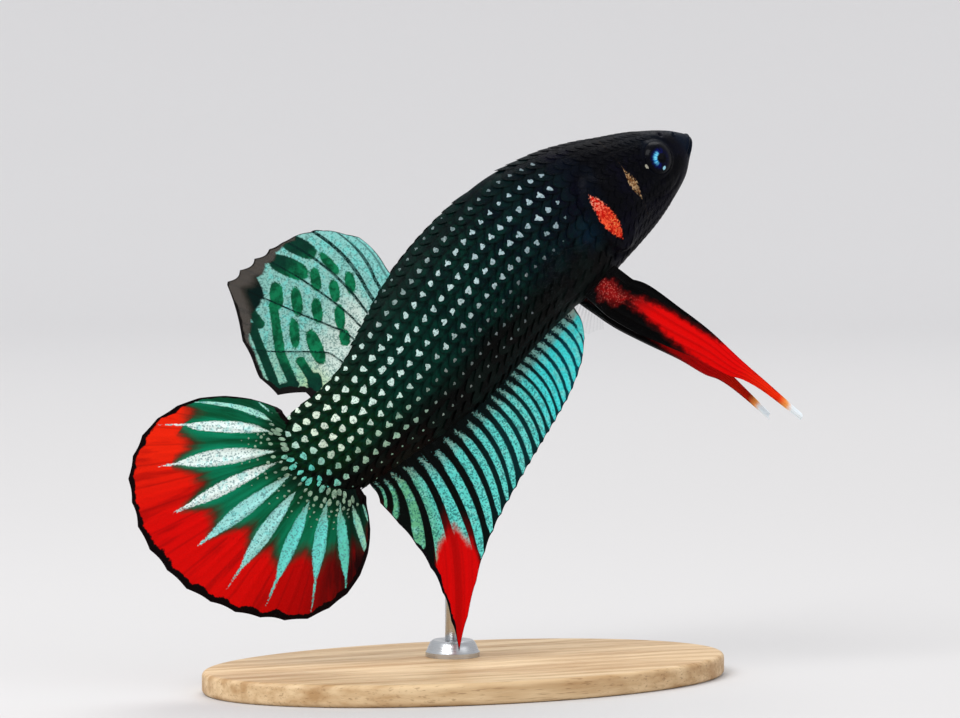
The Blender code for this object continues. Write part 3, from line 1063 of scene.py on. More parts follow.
@dataclass(frozen=True)
class StreakedFinish(FinFinish):
    """The tail fin: mint streaks on green, a red outer half and a ragged black margin."""

    def material(self, glitter: NodeTree, margin: NodeTree) -> Material:
        """Make the tail fin's material.

        Args:
            glitter: the group of shining grains.
            margin: the group of the dark margin.

        Returns:
            The material.
        """
        paint, grain, cloud = self.start("red_fin", glitter)
        ray, reach, streak, crimson, line, edge = paint.fields(
            "ray", "reach", "streak", "crimson", "line", "edge")
        rays = paint.noise(paint.join(ray * 2.6, reach * 1.3, 0.0), 1.0, 3.0, 0.6)
        glow = streak.step(-0.8, -0.05) * reach.step(0.12, 0.4) * ray.step(5.2, 8.0, 0.7, 0.3)
        green = paint.coats(
            (7, 28, 18),
            (reach.step(0.03, 0.24), (12, 100, 68)),
            (glow, (16, 132, 96)),
            (rays.step(0.48, 0.62, 0.0, 0.6), (8, 62, 34)),
            (ray.step(8.8, 10.4, 0.0, 0.85), (9, 20, 19)),
            (ray.step(0.8, 2.6, 0.8, 0.0), (9, 50, 32)),
        )
        red = paint.coats(
            (228, 38, 14),
            (ray.step(3.0, 5.4), (214, 12, 8)),
            (ray.step(7.0, 8.8), (170, 3, 5)),
            (ray.step(8.6, 9.5), (84, 8, 7)),
            (ray.step(9.4, 10.4), (34, 5, 8)),
            (line * 0.32, (104, 6, 8)),
            (rays.step(0.5, 0.66, 0.0, 0.52), (138, 6, 8)),
        )
        pale = paint.coats(
            (158, 218, 200),
            (ray.step(1.7, 2.0), (228, 244, 238)),
            (ray.step(5.2, 5.6), (156, 224, 218)),
            (ray.step(7.2, 7.6), (106, 216, 206)),
            (ray.step(9.3, 9.6), (94, 200, 180)),
            (ray.step(10.3, 10.6), (140, 202, 176)),
            (cloud.step(0.5, 0.64, 0.0, 0.45), (104, 212, 208)),
            (grain.step(0.6, 0.9, 0.0, 0.7), (78, 120, 124)),
            (reach.step(0.08, 0.28, 0.55, 0.0), (150, 172, 152)),
        )
        red_edge = crimson + (rays - 0.5) * 2.6 + (cloud - 0.5) * 0.9
        on_streak = (streak + (grain - 0.5) * 0.14).step(-0.04, 0.05)
        rim = self.rim(paint, margin, edge, ray.step(3.0, 7.0, 0.42, 0.6))
        return paint.dress(Base_Color=paint.coats(
            green, (red_edge.step(-1.7, 0.1, 0.0, 0.85), (66, 10, 6)),
            (red_edge.step(-0.6, 1.1), red), (on_streak, pale), (rim, self.margin_tone)))


@dataclass(frozen=True)
class StripedFinish(FinFinish):
    """The anal fin: turquoise stripes between black ones, and a red drawn-out tip."""

    margin_tone: Tone = (12, 10, 16)

    def material(self, glitter: NodeTree, margin: NodeTree) -> Material:
        """Make the anal fin's material.

        Args:
            glitter: the group of shining grains.
            margin: the group of the dark margin.

        Returns:
            The material.
        """
        paint, grain, cloud = self.start("turquoise_fin", glitter)
        ray, reach, crimson, stripe, line, edge, width = paint.fields(
            "ray", "reach", "crimson", "stripe", "line", "edge", "margin")
        stripe = stripe + (grain - 0.5) * reach.step(0.02, 0.16, 0.42, 0.1)
        pale = paint.coats(
            (70, 226, 226),
            (ray.step(6.0, 11.0), (96, 214, 204)),
            (ray.step(20.5, 23.5), (102, 182, 138)),
            (cloud.step(0.48, 0.66, 0.0, 0.5), (134, 220, 210)),
            (reach.step(0.03, 0.2, 0.8, 0.0), (138, 158, 144)),
            (grain.step(0.45, 0.85) * ray.step(4.0, 10.0, 0.3, 0.75), (22, 88, 88)),
        )
        dark = paint.coats(
            (4, 66, 78),
            (ray.step(2.0, 9.0), (3, 42, 44)),
            (ray.step(12.0, 18.0), (7, 14, 12)),
            (reach.step(0.06, 0.4, 0.8, 0.0), (6, 12, 12)),
        )
        front = ray.step(0.5, 1.6, 1.0, 0.0) * reach.step(0.05, 0.14, 1.0, 0.0)
        red = paint.coats((206, 5, 8), (line.step(0.0, 1.0, 0.0, 0.25), (140, 4, 5)),
                          (ray.near(20.2, 0.7) * 0.6, (140, 2, 4)))
        red_edge = crimson + (cloud - 0.5) * 1.2
        ember = red_edge.step(-2.6, 0.2) * stripe.step(-0.06, 0.0, 1.0, 0.0)
        return paint.dress(Base_Color=paint.coats(
            dark, (stripe.step(-0.04, 0.06), pale),
            (front * grain.step(0.3, 0.55), (150, 160, 152)), (ember * 0.8, (96, 6, 8)),
            (red_edge.step(-0.6, 1.1), red),
            (self.rim(paint, margin, edge, width), self.margin_tone)))


@dataclass(frozen=True)
class SpottedFinish(FinFinish):
    """The dorsal fin: mint membrane, green spots between dark rays, a smoky clear margin."""

    margin_tone: Tone = (26, 24, 24)
    clearness: float = 0.25

    def material(self, glitter: NodeTree, margin: NodeTree) -> Material:
        """Make the dorsal fin's material.

        Args:
            glitter: the group of shining grains.
            margin: the group of the dark margin.

        Returns:
            The material.
        """
        paint, grain, cloud = self.start("mint_fin", glitter)
        ray, reach, smoke, spot, fold, edge, width = paint.fields(
            "ray", "reach", "smoke", "spot", "fold", "edge", "margin")
        grainy = (grain - 0.5) * 0.06
        mint = paint.coats(
            (132, 200, 194),
            (ray.step(0.5, 4.2), (136, 192, 182)),
            (cloud.step(0.48, 0.62, 0.0, 0.7), (108, 206, 198)),
            (reach.step(0.04, 0.42, 0.75, 0.0) * ray.step(2.4, 4.6), (218, 228, 218)),
            (ray.step(8.8, 10.8) * reach.step(0.15, 0.5, 0.6, 0.2), (158, 196, 120)),
            (grain.step(0.45, 0.9, 0.0, 0.65), (60, 108, 102)),
        )
        green = paint.coats((8, 74, 48), (cloud.step(0.35, 0.65), (22, 118, 78)),
                            (edge.step(1.4, 4.0, 0.9, 0.0), (13, 46, 40)))
        worn = grain.step(0.45, 0.9, 1.0, 0.55) * ray.step(0.6, 1.4, 0.6, 1.0)
        folded = (fold + grainy).step(-0.01, 0.07, 1.0, 0.0) * worn
        smoky = (smoke + grainy).step(-0.05, 0.25)
        struts = paint.noise(paint.join(ray * 5.0, 0.0, 0.0), 1.0, 2.0).step(0.5, 0.62)
        murk = paint.coats((60, 52, 42), (edge.step(0.9, 2.3), (9, 32, 30)),
                           (struts * 0.6, (14, 18, 16)))
        rim = self.rim(paint, margin, edge, width)
        clear = smoky * (1.0 - rim) * edge.step(0.9, 2.3, 1.0, 0.0)
        colour = paint.coats(mint, ((spot + grainy).step(-0.05, 0.07), green),
                             (folded, (6, 40, 36)), (smoky, murk), (rim, self.margin_tone))
        return paint.dress(Base_Color=colour, Alpha=1.0 - clear * self.clearness)


@dataclass(frozen=True)
class BladeFinish(FinFinish):
    """The pelvic fins: a red core between black edges, and a white tip; the left fin's red carries
    painted shade.
    """

    roughness: float = 0.44
    shine: float = 0.04
    grain_depth: float = 0.000015

    def material(self, glitter: NodeTree) -> Material:
        """Make the pelvic fins' material.

        Args:
            glitter: the group of shining grains.

        Returns:
            The material.
        """
        paint, _, cloud = self.start("pelvic_red", glitter)
        reach, line, core, shade = paint.fields("reach", "line", "core", "shade")
        soft = (cloud - 0.5) * reach.step(0.05, 0.3, 2.2, 0.8)
        sparks = paint.cells(paint.place(), 5200, "Distance").step(0.12, 0.5, 1.0, 0.0)
        red = paint.coats(
            (150, 22, 22),
            (reach.step(0.1, 0.28), (220, 9, 8)),
            (reach.step(0.66, 0.92), (242, 50, 14)),
            (line * 0.3, (130, 6, 8)),
            (cloud.step(0.4, 0.6) * reach.step(0.06, 0.24, 0.7, 0.0), (70, 6, 8)),
            (sparks * reach.step(0.06, 0.2, 0.55, 0.0), (226, 110, 98)),
            # painted shade: the left fin's red is darkened
            (shade * 0.6, (116, 4, 6)),
        )
        edge = core + soft
        return paint.dress(Base_Color=paint.coats(
            (4, 3, 5),
            (edge.step(-0.5, 0.1), (72, 6, 8)),
            (edge.step(-0.15, 0.42), red),
            (reach.step(0.885, 0.935, 0.0, 0.8), (246, 176, 90)),
            ((reach + soft * 0.04).step(0.92, 0.955), (232, 240, 244)),
        ))


@dataclass(frozen=True)
class ClearFinish:
    """The pectoral fins: a clear membrane with fine grey rays."""

    roughness: float = 0.5
    shine: float = 0.05
    membrane: float = 0.015
    ray: float = 0.13

    def material(self) -> Material:
        """Make the pectoral fins' material.

        Returns:
            The material.
        """
        paint = Paint("clear_fin", Roughness=self.roughness, Specular_IOR_Level=self.shine)
        line, reach = paint.fields("line", "reach")
        ray = line * reach.step(0.55, 1.0, 1.0, 0.25)
        alpha = paint.math("MULTIPLY_ADD", ray, self.ray - self.membrane, self.membrane)
        return paint.dress(Base_Color=paint.mix(ray, (40, 48, 50), (14, 16, 18)), Alpha=alpha)


@dataclass(frozen=True)
class EyeFinish:
    """A black pupil in a deep blue iris with painted light and shade, under a glossy clear coat.
    Lengths in mm.
    """

    pupil: float = 0.46
    iris: float = 1.0
    glint: tuple[float, float] = (0.24, -0.9)
    glint_size: float = 0.24

    def material(self) -> Material:
        """Make the eyes' material.

        Returns:
            The material.
        """
        paint = Paint("eye", Roughness=0.4, Specular_IOR_Level=0.03, Coat_Weight=0.12,
                      Coat_Roughness=0.03, Coat_IOR=1.35)
        across, up, radius = paint.vector("iris").parts()
        spokes = paint.noise(paint.join(across, up, radius * 0.25), 5.0, 3.0, 0.65)
        # painted highlight: the iris turns cyan on its upper aft side, and painted shade darkens
        # the opposite side
        toward = across * 0.8 + up * 0.6
        lit = toward.step(0.4, 0.95) * radius.near(0.62, 0.32)
        blue = paint.coats((2, 6, 40), (spokes.step(0.38, 0.62), (6, 24, 110)),
                           (toward.step(-0.5, 0.6, 0.9, 0.0), (1, 3, 16)),
                           (lit, (20, 120, 200)), (lit * spokes.step(0.4, 0.6), (130, 230, 236)))
        edge = radius + (spokes - 0.5) * 0.25
        # painted glint: a small pale blue dot low on the eye
        glint = ((across * radius).near(self.glint[0], self.glint_size)
                 * (up * radius).near(self.glint[1], self.glint_size))
        return paint.dress(Base_Color=paint.coats(
            (3, 5, 14),
            (edge.step(self.pupil - 0.05, self.pupil + 0.1), blue),
            (edge.step(self.iris - 0.3, self.iris + 0.12), (5, 7, 16)),
            (glint.step(0.1, 0.4), (150, 210, 230)),
        ))


@dataclass(frozen=True)
class WoodFinish:
    """Pale fine-sanded hardwood with long grain and a satin oil finish."""

    light: Tone = (222, 192, 150)
    dark: Tone = (176, 138, 94)
    pore: Tone = (128, 94, 60)
    pore_depth: float = 0.00003

    def material(self) -> Material:
        """Make the base's material.

        Returns:
            The material.
        """
        paint = Paint("pale_wood", Specular_IOR_Level=0.35)
        along, across, up = paint.place().parts()
        drift = paint.noise(paint.place(), 26, 2.0) * 0.006
        growth = paint.noise(paint.join(along * 0.07, across + drift, up), 620, 3.0, 0.6)
        pores = paint.noise(paint.join(along * 0.05, across, up), 5200, 2.0, 0.7)
        colour = paint.coats(self.light, (growth.step(0.3, 0.7), self.dark),
                             (pores.step(0.56, 0.7, 0.0, 0.5), self.pore))
        return paint.dress(Base_Color=colour, Roughness=pores.step(0.3, 0.7, 0.42, 0.6),
                           Normal=paint.bump(pores, self.pore_depth))


@dataclass(frozen=True)
class SteelFinish:
    """Brushed steel, its fine lines running round the piece."""

    base: Tone = (196, 198, 200)
    smudge: Tone = (150, 152, 156)
    line_depth: float = 0.000006

    def material(self) -> Material:
        """Make the rod's and the collar's material.

        Returns:
            The material.
        """
        paint = Paint("steel", Metallic=1.0)
        _, _, up = paint.place().parts()
        lines = paint.noise(paint.join(0.0, 0.0, up), 14000, 2.0, 0.7)
        smudges = paint.noise(paint.place(), 300, 3.0).step(0.3, 0.7, 0.0, 0.3)
        return paint.dress(Base_Color=paint.mix(smudges, self.base, self.smudge),
                           Roughness=lines.step(0.3, 0.7, 0.22, 0.4),
                           Normal=paint.bump(lines, self.line_depth))


# ---------------------------------------------------------------- skin, scales and eyes


def mark_places(mesh: Mesh, behind: Array, left: Array, up: Array) -> None:
    """Store each point's place on the straight fish, and its level from belly to back.

    Args:
        mesh: the mesh.
        behind, left, up: the places.
    """
    back, belly, _, _ = BODY.section(behind)
    set_field(mesh, "place", np.stack([behind, left, up], axis=-1).reshape(-1, 3))
    set_field(mesh, "level", ((2 * up - back - belly) / (back - belly)).ravel())


@dataclass(frozen=True)
class Skin:
    """One closed skin over head, gill covers, trunk and tail."""

    rings: int = 320
    turns: int = 168
    socket_radius: float = 1.4
    socket_depth: float = 1.1
    cutter_length: float = 6.0
    eye_out: float = 2.0
    eye_turn: float = 10.5
    nodes: tuple[str, ...] = ("head", "gill_cover_right", "gill_cover_left", "trunk", "tail")

    def stations(self) -> Array:
        """Space the rings, close together where forms are fine.

        Returns:
            Their places behind the snout.
        """
        start, end = BODY.ends()
        places = [start]
        while places[-1] < end:
            behind = places[-1]
            step = min(0.025 + 0.05 * (behind - start), 0.072)
            step += 0.2 * float(smooth(np.array(behind), 13.5, 18.0))
            places.append(behind + min(step, 0.06 + 0.2 * (end - behind)))
        shares = np.linspace(0, 1, self.rings - 1)
        return np.interp(shares, np.linspace(0, 1, len(places)), np.minimum(places, end))

    def build(self, material: Material) -> Object:
        """Make the skin from a sphere primitive whose poles are the mouth and the tail's end.

        Args:
            material: the skin's material.

        Returns:
            The skin.
        """
        deselect_all()
        bpy.ops.mesh.primitive_uv_sphere_add(segments=self.turns, ring_count=self.rings, radius=1.0)
        item = added("skin")
        ball = points_of(item.data)
        polar = np.arccos(np.clip(ball[:, 2], -1, 1)) / math.pi * self.rings
        angle = np.arctan2(ball[:, 1], ball[:, 0])
        behind = np.interp(polar, np.arange(1, self.rings), self.stations())
        pole = (polar < 0.5) | (polar > self.rings - 0.5)
        _, left, up = BODY.surface(behind, angle, -BODY.depth(behind))
        back, belly, _, _ = BODY.section(behind)
        left[pole] = 0.0
        up[pole] = ((back + belly) / 2)[pole]
        set_points(item.data, BODY.world(behind, left, up))
        item.data.uv_layers.remove(item.data.uv_layers[0])
        face_outwards(item)
        self.raise_forms(item, behind, up, angle, pole)
        for side in Side:
            self.cut_socket(item, side)
        mark_places(item.data, *BODY.straight(points_of(item.data)))
        return finish(item, material, self.nodes, smooth_angle=60)

    def raise_forms(self, item: Object, behind: Array, up: Array, angle: Array,
                    pole: Array) -> None:
        """Move the skin along its own normals to make the head's forms.

        Args:
            item: the skin.
            behind, up, angle: its points' places, and their turns round the section.
            pole: which points are poles, and stay.
        """
        folded = np.arcsin(np.clip(np.sin(angle), -1, 1))
        rise = np.where(pole, 0.0, BODY.relief(behind, up, folded))
        normals = read(item.data.vertex_normals, "vector")
        set_points(item.data, points_of(item.data) + normals * rise[:, None] * MM)

    def eye_frame(self, side: Side) -> Matrix:
        """Work out where an eye sits and looks.

        Args:
            side: which of the fish's eyes.

        Returns:
            Its matrix: X behind, Y out of the head and Z up.
        """
        behind, up = BODY.eye
        steps = np.vstack([np.zeros(3), np.eye(3) * 0.01]) + (behind, self.eye_out, up)
        centre, *ends = BODY.world(steps[:, 0], side.value * steps[:, 1], steps[:, 2])
        axes = [Vector(point - centre).normalized() for point in ends]
        turn = Matrix(axes).transposed().to_4x4()
        yaw = Matrix.Rotation(math.radians(self.eye_turn), 4, "Z")
        return Matrix.Translation(centre) @ turn @ yaw

    def cut_socket(self, item: Object, side: Side) -> None:
        """Cut one eye's socket with a round cutter.

        Args:
            item: the skin.
            side: which of the fish's eyes.
        """
        deselect_all()
        bpy.ops.mesh.primitive_cylinder_add(
            vertices=72, radius=self.socket_radius * MM, depth=self.cutter_length * MM)
        cutter = added("socket_cutter")
        quarter = Matrix.Rotation(math.radians(-90), 4, "X")
        slide = Matrix.Translation((0, (self.cutter_length / 2 - self.socket_depth) * MM, 0))
        cutter.data.transform(self.eye_frame(side) @ slide @ quarter)
        face_outwards(cutter)
        modify(item, "BOOLEAN", object=cutter, operation="DIFFERENCE")
        bpy.data.objects.remove(cutter, do_unlink=True)


@dataclass(frozen=True)
class Eye:
    """One eyeball, a flattened ball with its iris painted under a clear coat."""

    radius: float = 1.62
    depth: float = 1.22
    iris_aft: float = 0.22

    def build(self, side: Side, skin: Skin, material: Material) -> Object:
        """Make one eye from a sphere primitive whose pole looks out of the head.

        Args:
            side: which of the fish's eyes.
            skin: the skin that holds the socket.
            material: the eye's material.

        Returns:
            The eyeball.
        """
        deselect_all()
        bpy.ops.mesh.primitive_uv_sphere_add(segments=64, ring_count=40, radius=1.0)
        item = added("eyeball_" + side.name.lower())
        ball = points_of(item.data)
        across, up = ball[:, 0] * self.radius, ball[:, 1] * self.radius
        painted = np.hypot(across - self.iris_aft, up)
        radius = np.where(ball[:, 2] > 0, painted, 2.0)
        around = np.maximum(painted, 1e-4)
        iris = np.stack([(across - self.iris_aft) / around, up / around, radius], axis=1)
        set_field(item.data, "iris", iris)
        local = np.stack([across, ball[:, 2] * self.depth, up], axis=1) * MM
        spread = np.array(skin.eye_frame(side))
        set_points(item.data, local @ spread[:3, :3].T + spread[:3, 3])
        item.data.uv_layers.remove(item.data.uv_layers[0])
        face_outwards(item)
        return finish(item, material, ("eye_" + side.name.lower(),))


Roots = tuple[Array, Array, Array, Array]


@dataclass(frozen=True)
class Coat:
    """The scales in rows along both sides, and the pale spots on them. Lengths in mm."""

    # shares of the half girth, against the place behind: where row 0 runs, and the rows' gap
    rows_from: Rows = (
        (10.0, 0.1), (15.0, 0.1), (18.0, 0.095), (22.0, 0.11), (26.0, 0.135), (31.0, 0.143),
        (35.0, 0.12), (38.0, 0.09), (41.0, 0.065), (44.0, 0.075), (48.0, 0.085),
    )
    rows_gap: Rows = (
        (10.0, 0.08), (15.0, 0.086), (18.0, 0.092), (24.0, 0.09), (30.0, 0.0925), (35.0, 0.1),
        (38.0, 0.104), (41.0, 0.109), (44.0, 0.111), (48.0, 0.107),
    )
    rows: tuple[int, int] = (-1, 10)
    lean: float = 0.26
    lean_row: int = 2
    covered: tuple[float, float] = (0.01, 0.985)
    first: float = 2.7
    last: float = 47.4
    overlap: float = 1.72
    width: float = 1.16
    rise: float = 0.2
    scale_under: float = -0.14
    straight_from: float = 42.5
    fan: float = 0.02
    # the distance from one scale of a row to the next, against the place behind
    steps: Rows = (
        (2.0, 0.46), (6.0, 0.62), (10.0, 0.86), (13.0, 1.05), (16.0, 1.2), (20.0, 1.16),
        (24.0, 1.13), (42.0, 1.14), (44.0, 1.04), (48.0, 0.92),
    )
    # for each row the spots' size in front and at the tail, and where they start
    spot_rows: Rows = (
        (-1, 0.5, 0.4, 24.0), (0, 0.85, 0.9, 13.7), (1, 0.9, 1.2, 14.3), (2, 1.02, 1.24, 14.5),
        (3, 1.0, 1.2, 15.2), (4, 0.88, 1.14, 15.6), (5, 0.6, 1.04, 17.0), (6, 0.5, 1.12, 22.0),
        (7, 0.44, 0.3, 22.5), (8, 0.12, 0.22, 25.0), (9, 0.0, 0.0, 30.0),
    )
    # colours of the upper rows' spots and of the lower rows', against the place behind
    spot_upper: Rows = (
        (14, 150, 170, 178), (20, 160, 182, 188), (26, 176, 198, 198), (33, 186, 214, 208),
        (38, 206, 230, 218), (44, 210, 228, 206), (47, 160, 218, 202),
    )
    spot_lower: Rows = (
        (14, 70, 78, 84), (24, 104, 112, 114), (32, 114, 122, 116), (36, 142, 176, 154),
        (43, 144, 184, 158), (47, 96, 206, 188),
    )
    spot_blue: Tone = (92, 206, 190)
    spot_radius: float = 0.275
    spot_least: float = 0.2
    seed: int = 7

    def share_at(self, behind: Array, row: Array) -> tuple[Array, Array]:
        """Return how far round the half girth rows run, and the distance to the next row."""
        start, gap = Profile(self.rows_from)(behind)[0], Profile(self.rows_gap)(behind)[0]
        return start + row * gap, gap

    def lattice(self) -> Roots:
        """Lay out the scales in their rows.

        Returns:
            For each scale its root behind the snout, its row, its length and its side.
        """
        step_at = Profile(self.steps)
        places = [self.first]
        while places[-1] < self.last:
            places.append(places[-1] + float(step_at(np.array([places[-1]]))[0, 0]))
        roots = [(behind, row, end - behind, side.value) for side in Side
                 for row in range(self.rows[0], self.rows[1] + 1)
                 for behind, end in zip(places, places[1:])]
        behind, row, step, side_sign = np.array(roots).T
        behind = behind + self.lean * (row - self.lean_row) * (1 - smooth(behind, 16.0, 28.0))
        share, _ = self.share_at(behind, row)
        least, most = self.covered
        keep = (share > least) & (share < most) & self.allowed(behind, share)
        return behind[keep], row[keep], step[keep], side_sign[keep]

    def allowed(self, behind: Array, share: Array) -> Array:
        """Find the scales that are clear of the eyes and the naked snout.

        Args:
            behind, share: the scales' roots, and how far round the half girth they lie.

        Returns:
            Which scales are kept.
        """
        angle = self.angle_at(behind, share)
        _, _, up = BODY.surface(behind, angle, 0.0)
        from_eye = np.hypot(behind + 0.4 - BODY.eye[0], up - BODY.eye[1])
        clear = (from_eye > 1.95) & (behind > 2.6 + 0.25 * np.abs(up - 1.5))
        return clear & ((behind < self.straight_from + 1) | (np.abs(np.sin(angle)) < 0.96))

    def angle_at(self, behind: Array, share: Array) -> Array:
        """Turn shares of the half girth into turns round the section.

        Args:
            behind, share: places behind the snout and shares of the half girth.

        Returns:
            The turns, in radians from the fish's left.
        """
        stations, angles = BODY.perimeter()
        down = np.clip(behind, stations[0], stations[-1])
        place = (down - stations[0]) / (stations[-1] - stations[0]) * (len(stations) - 1)
        low = np.minimum(place.astype(int), len(stations) - 2)
        part = place - low
        column = np.clip(share, -0.1, 1.1) * (angles.shape[1] - 1)
        left = np.clip(column.astype(int), 0, angles.shape[1] - 2)
        rest = column - left
        near = angles[low, left] * (1 - rest) + angles[low, left + 1] * rest
        far = angles[low + 1, left] * (1 - rest) + angles[low + 1, left + 1] * rest
        angle = near * (1 - part) + far * part
        return np.where(behind > self.straight_from, self.level_angle(behind, share, angle), angle)

    def level_angle(self, behind: Array, share: Array, angle: Array) -> Array:
        """Let the rows run straight on over the tail's rounded end.

        Args:
            behind, share: places behind the snout and shares of the half girth.
            angle: the turns that share the half girth evenly.

        Returns:
            The turns, in radians from the fish's left.
        """
        if np.max(behind) <= self.straight_from:
            return angle
        start = np.full(np.shape(share), self.straight_from)
        _, _, height = BODY.surface(start, self.angle_at(start, share), 0.0)
        back, belly, _, _ = BODY.section(behind)
        fanned = height * (1 + self.fan * (behind - self.straight_from))
        sine = np.clip((2 * fanned - back - belly) / (back - belly), -1, 1)
        return np.arcsin(sine)

    def scale_template(self) -> Object:
        """Model one scale, a grid that is closed underneath.

        Returns:
            The scale.
        """
        deselect_all()
        bpy.ops.mesh.primitive_grid_add(x_subdivisions=6, y_subdivisions=5, size=1.0)
        item = added("scale_template")
        close_under(item)
        return item

    def on_scale(self, roots: Roots, along: Array, across: Array, extra: Array) -> Places:
        """Return points on scales, as arrays of scales by points.

        Args:
            roots: the scales' lattice.
            along: the points' places from root to tip, 0 to 1.
            across: their places across, -1 to 1.
            extra: their height over the scale's own face.

        Returns:
            The points' places behind the snout, to the left and up.
        """
        behind, row, step, side = (column[:, None] for column in roots)
        shorten = 1.0 - 0.3 * across ** 2 * along
        narrow = 0.72 + 0.28 * smooth(along, 0.0, 0.3) - 0.3 * smooth(along, 0.55, 1.0)
        far = behind + step * self.overlap * (along * shorten - 0.12)
        share, gap = self.share_at(far, row)
        around = share + across * narrow * self.width / 2 * gap
        angle = self.angle_at(far, around)
        _, _, up = BODY.surface(far, angle, 0.0)
        size = np.clip(step / 1.1, 0.3, 1.0) * (0.62 + 0.38 * smooth(behind, 11.0, 16.0))
        crown = along ** 0.8 * 1.05 - 0.12 - 0.22 * across ** 2 * along
        lift = -BODY.depth(far) + size * self.rise * crown + extra + BODY.relief(far, up, angle)
        place_behind, left, up = BODY.surface(far, angle, lift)
        return place_behind, left * side, up

    def build_scales(self, material: Material) -> Object:
        """Make the coat of overlapping scales.

        Args:
            material: the scales' material.

        Returns:
            The scales, joined.
        """
        roots = self.lattice()
        template = self.scale_template()
        shape = points_of(template.data)
        under = shape[:, 2] < -0.5
        along = np.where(under, 0.55, shape[:, 0] + 0.5)
        across = np.where(under, 0.0, shape[:, 1] * 2)
        extra = np.where(under, self.scale_under, 0.0)
        places = self.on_scale(roots, along[None, :], across[None, :], extra[None, :])
        item = copies("scales", template, places)
        chance = np.random.default_rng(self.seed).random(len(roots[0]))
        lobe = np.broadcast_arrays(along[None, :], across[None, :], chance[:, None])
        set_field(item.data, "lobe", np.stack(lobe, axis=-1).reshape(-1, 3))
        self.mark(item.data, roots, places, along, across)
        face_outwards(item)
        return finish(item, material, smooth_angle=50)

    def mark(self, mesh: Mesh, roots: Roots, places: Places, along: Array, across: Array) -> None:
        """Store the places that the markings are read from, and the map for baking.

        Args:
            mesh: the joined scales or spots.
            roots: the scales' lattice.
            places: every point's place on the straight fish.
            along, across: the small piece's own points, which make each patch of the map.
        """
        mark_places(mesh, *places)
        start, end = BODY.ends()
        other_side = np.where(roots[3] > 0, 0.0, 0.49)
        root_u = 0.02 + 0.96 * (roots[0] - start) / (end - start)
        root_v = 0.02 + 0.47 * self.share_at(roots[0], roots[1])[0] + other_side
        map_patches(mesh, root_u[:, None] + BAKE_PATCH * (along - 0.5),
                    root_v[:, None] + BAKE_PATCH * across / 2)

    def build_spots(self, material: Material) -> Object:
        """Make the pale spots, one on each scale of the spotted rows.

        Args:
            material: the spots' material.

        Returns:
            The spots, joined.
        """
        chances = np.random.default_rng(self.seed + 1)
        roots = self.lattice()
        size = self.spot_size(roots[0], roots[1]) * chances.uniform(0.86, 1.12, len(roots[0]))
        keep = size > self.spot_least
        roots, size = tuple(column[keep] for column in roots), size[keep, None] * self.spot_radius
        template, shape, under, centre = disc(12)
        turn = np.arctan2(shape[:, 1], shape[:, 0])[None, :]
        round_off = smooth(roots[0], 36.0, 44.0)[:, None]
        lobes = (1 - 0.6 * round_off) * chances.uniform(0.1, 0.34, (len(size), 1))
        ahead = chances.normal(2.6, 0.5, (len(size), 1))
        long = (1 - 0.8 * round_off) * chances.uniform(-0.12, 0.16, (len(size), 1))
        turned = turn - ahead
        radius = 1 + lobes * np.cos(3 * turned) + long * np.cos(2 * turned) + lobes * np.cos(turned)
        radius = radius + chances.uniform(-0.22, 0.2, (len(size), len(shape)))
        radius = np.where((under | centre)[None, :], 0.0, radius) * size
        girth = BODY.half_girth(roots[0])[:, None]
        _, gap = self.share_at(roots[0], roots[1])
        along = 0.66 + radius * np.cos(turn) / (roots[2][:, None] * self.overlap)
        across = radius * np.sin(turn) / (0.95 * self.width / 2 * gap[:, None] * girth)
        extra = np.where(under, -0.1, np.where(centre, 0.06, 0.015))[None, :]
        places = self.on_scale(roots, along, across, extra)
        item = copies("scale_spots", template, places)
        tint = self.spot_tint(roots[0], roots[1]) * chances.uniform(0.8, 1.1, (len(size), 1))
        set_field(item.data, "tint", np.repeat(tint, len(shape), axis=0))
        flat = shape * ~under[:, None]
        self.mark(item.data, roots, places, 0.5 + 0.5 * flat[:, 0], flat[:, 1])
        face_outwards(item)
        return finish(item, material, smooth_angle=60)

    def spot_size(self, behind: Array, row: Array) -> Array:
        """Work out the spots' relative sizes.

        Args:
            behind, row: the scales' roots and rows.

        Returns:
            The sizes, where 1 is a full spot.
        """
        front, rear, start = Profile(self.spot_rows)(row)
        grown = smooth(behind, 20.0, 24.0)
        size = front + (rear - front) * smooth(behind, 33.0, 38.0)
        size = size * (0.7 + 0.3 * grown + 0.3 * smooth(row, 0.0, 2.0) * (1 - grown))
        top_ends = np.where(row < -0.5, 1 - smooth(behind, 33.0, 35.0), 1.0)
        size = size * smooth(behind + 1.0, start - 0.6, start + 0.5) * top_ends
        return size * (1 - 0.2 * smooth(behind, 44.0, 47.5))

    def spot_tint(self, behind: Array, row: Array) -> Array:
        """Work out the spots' colours.

        Args:
            behind, row: the scales' roots and rows.

        Returns:
            One linear colour for each spot.
        """
        upper, lower = Profile(self.spot_upper)(behind), Profile(self.spot_lower)(behind)
        part = smooth(row, 3.4, 5.4)
        tint = upper + (lower - upper) * part
        blue = smooth(behind, 44.4, 45.6) * smooth(row, 2.4, 3.4) * (1 - smooth(row, 6.0, 7.0))
        tint = tint + (np.array(self.spot_blue)[:, None] - tint) * blue
        tint = tint * (1 - 0.4 * (1 - smooth(row, -0.5, 1.0)) * (1 - smooth(behind, 33.0, 37.0)))
        return (np.clip(tint.T / 255, 0, 1) + 0.055) ** 2.4 / 1.055 ** 2.4


# ---------------------------------------------------------------- fins


ROOT_SINK = 0.6

Fields = dict[str, Array]
Pair = tuple[Array, Array]


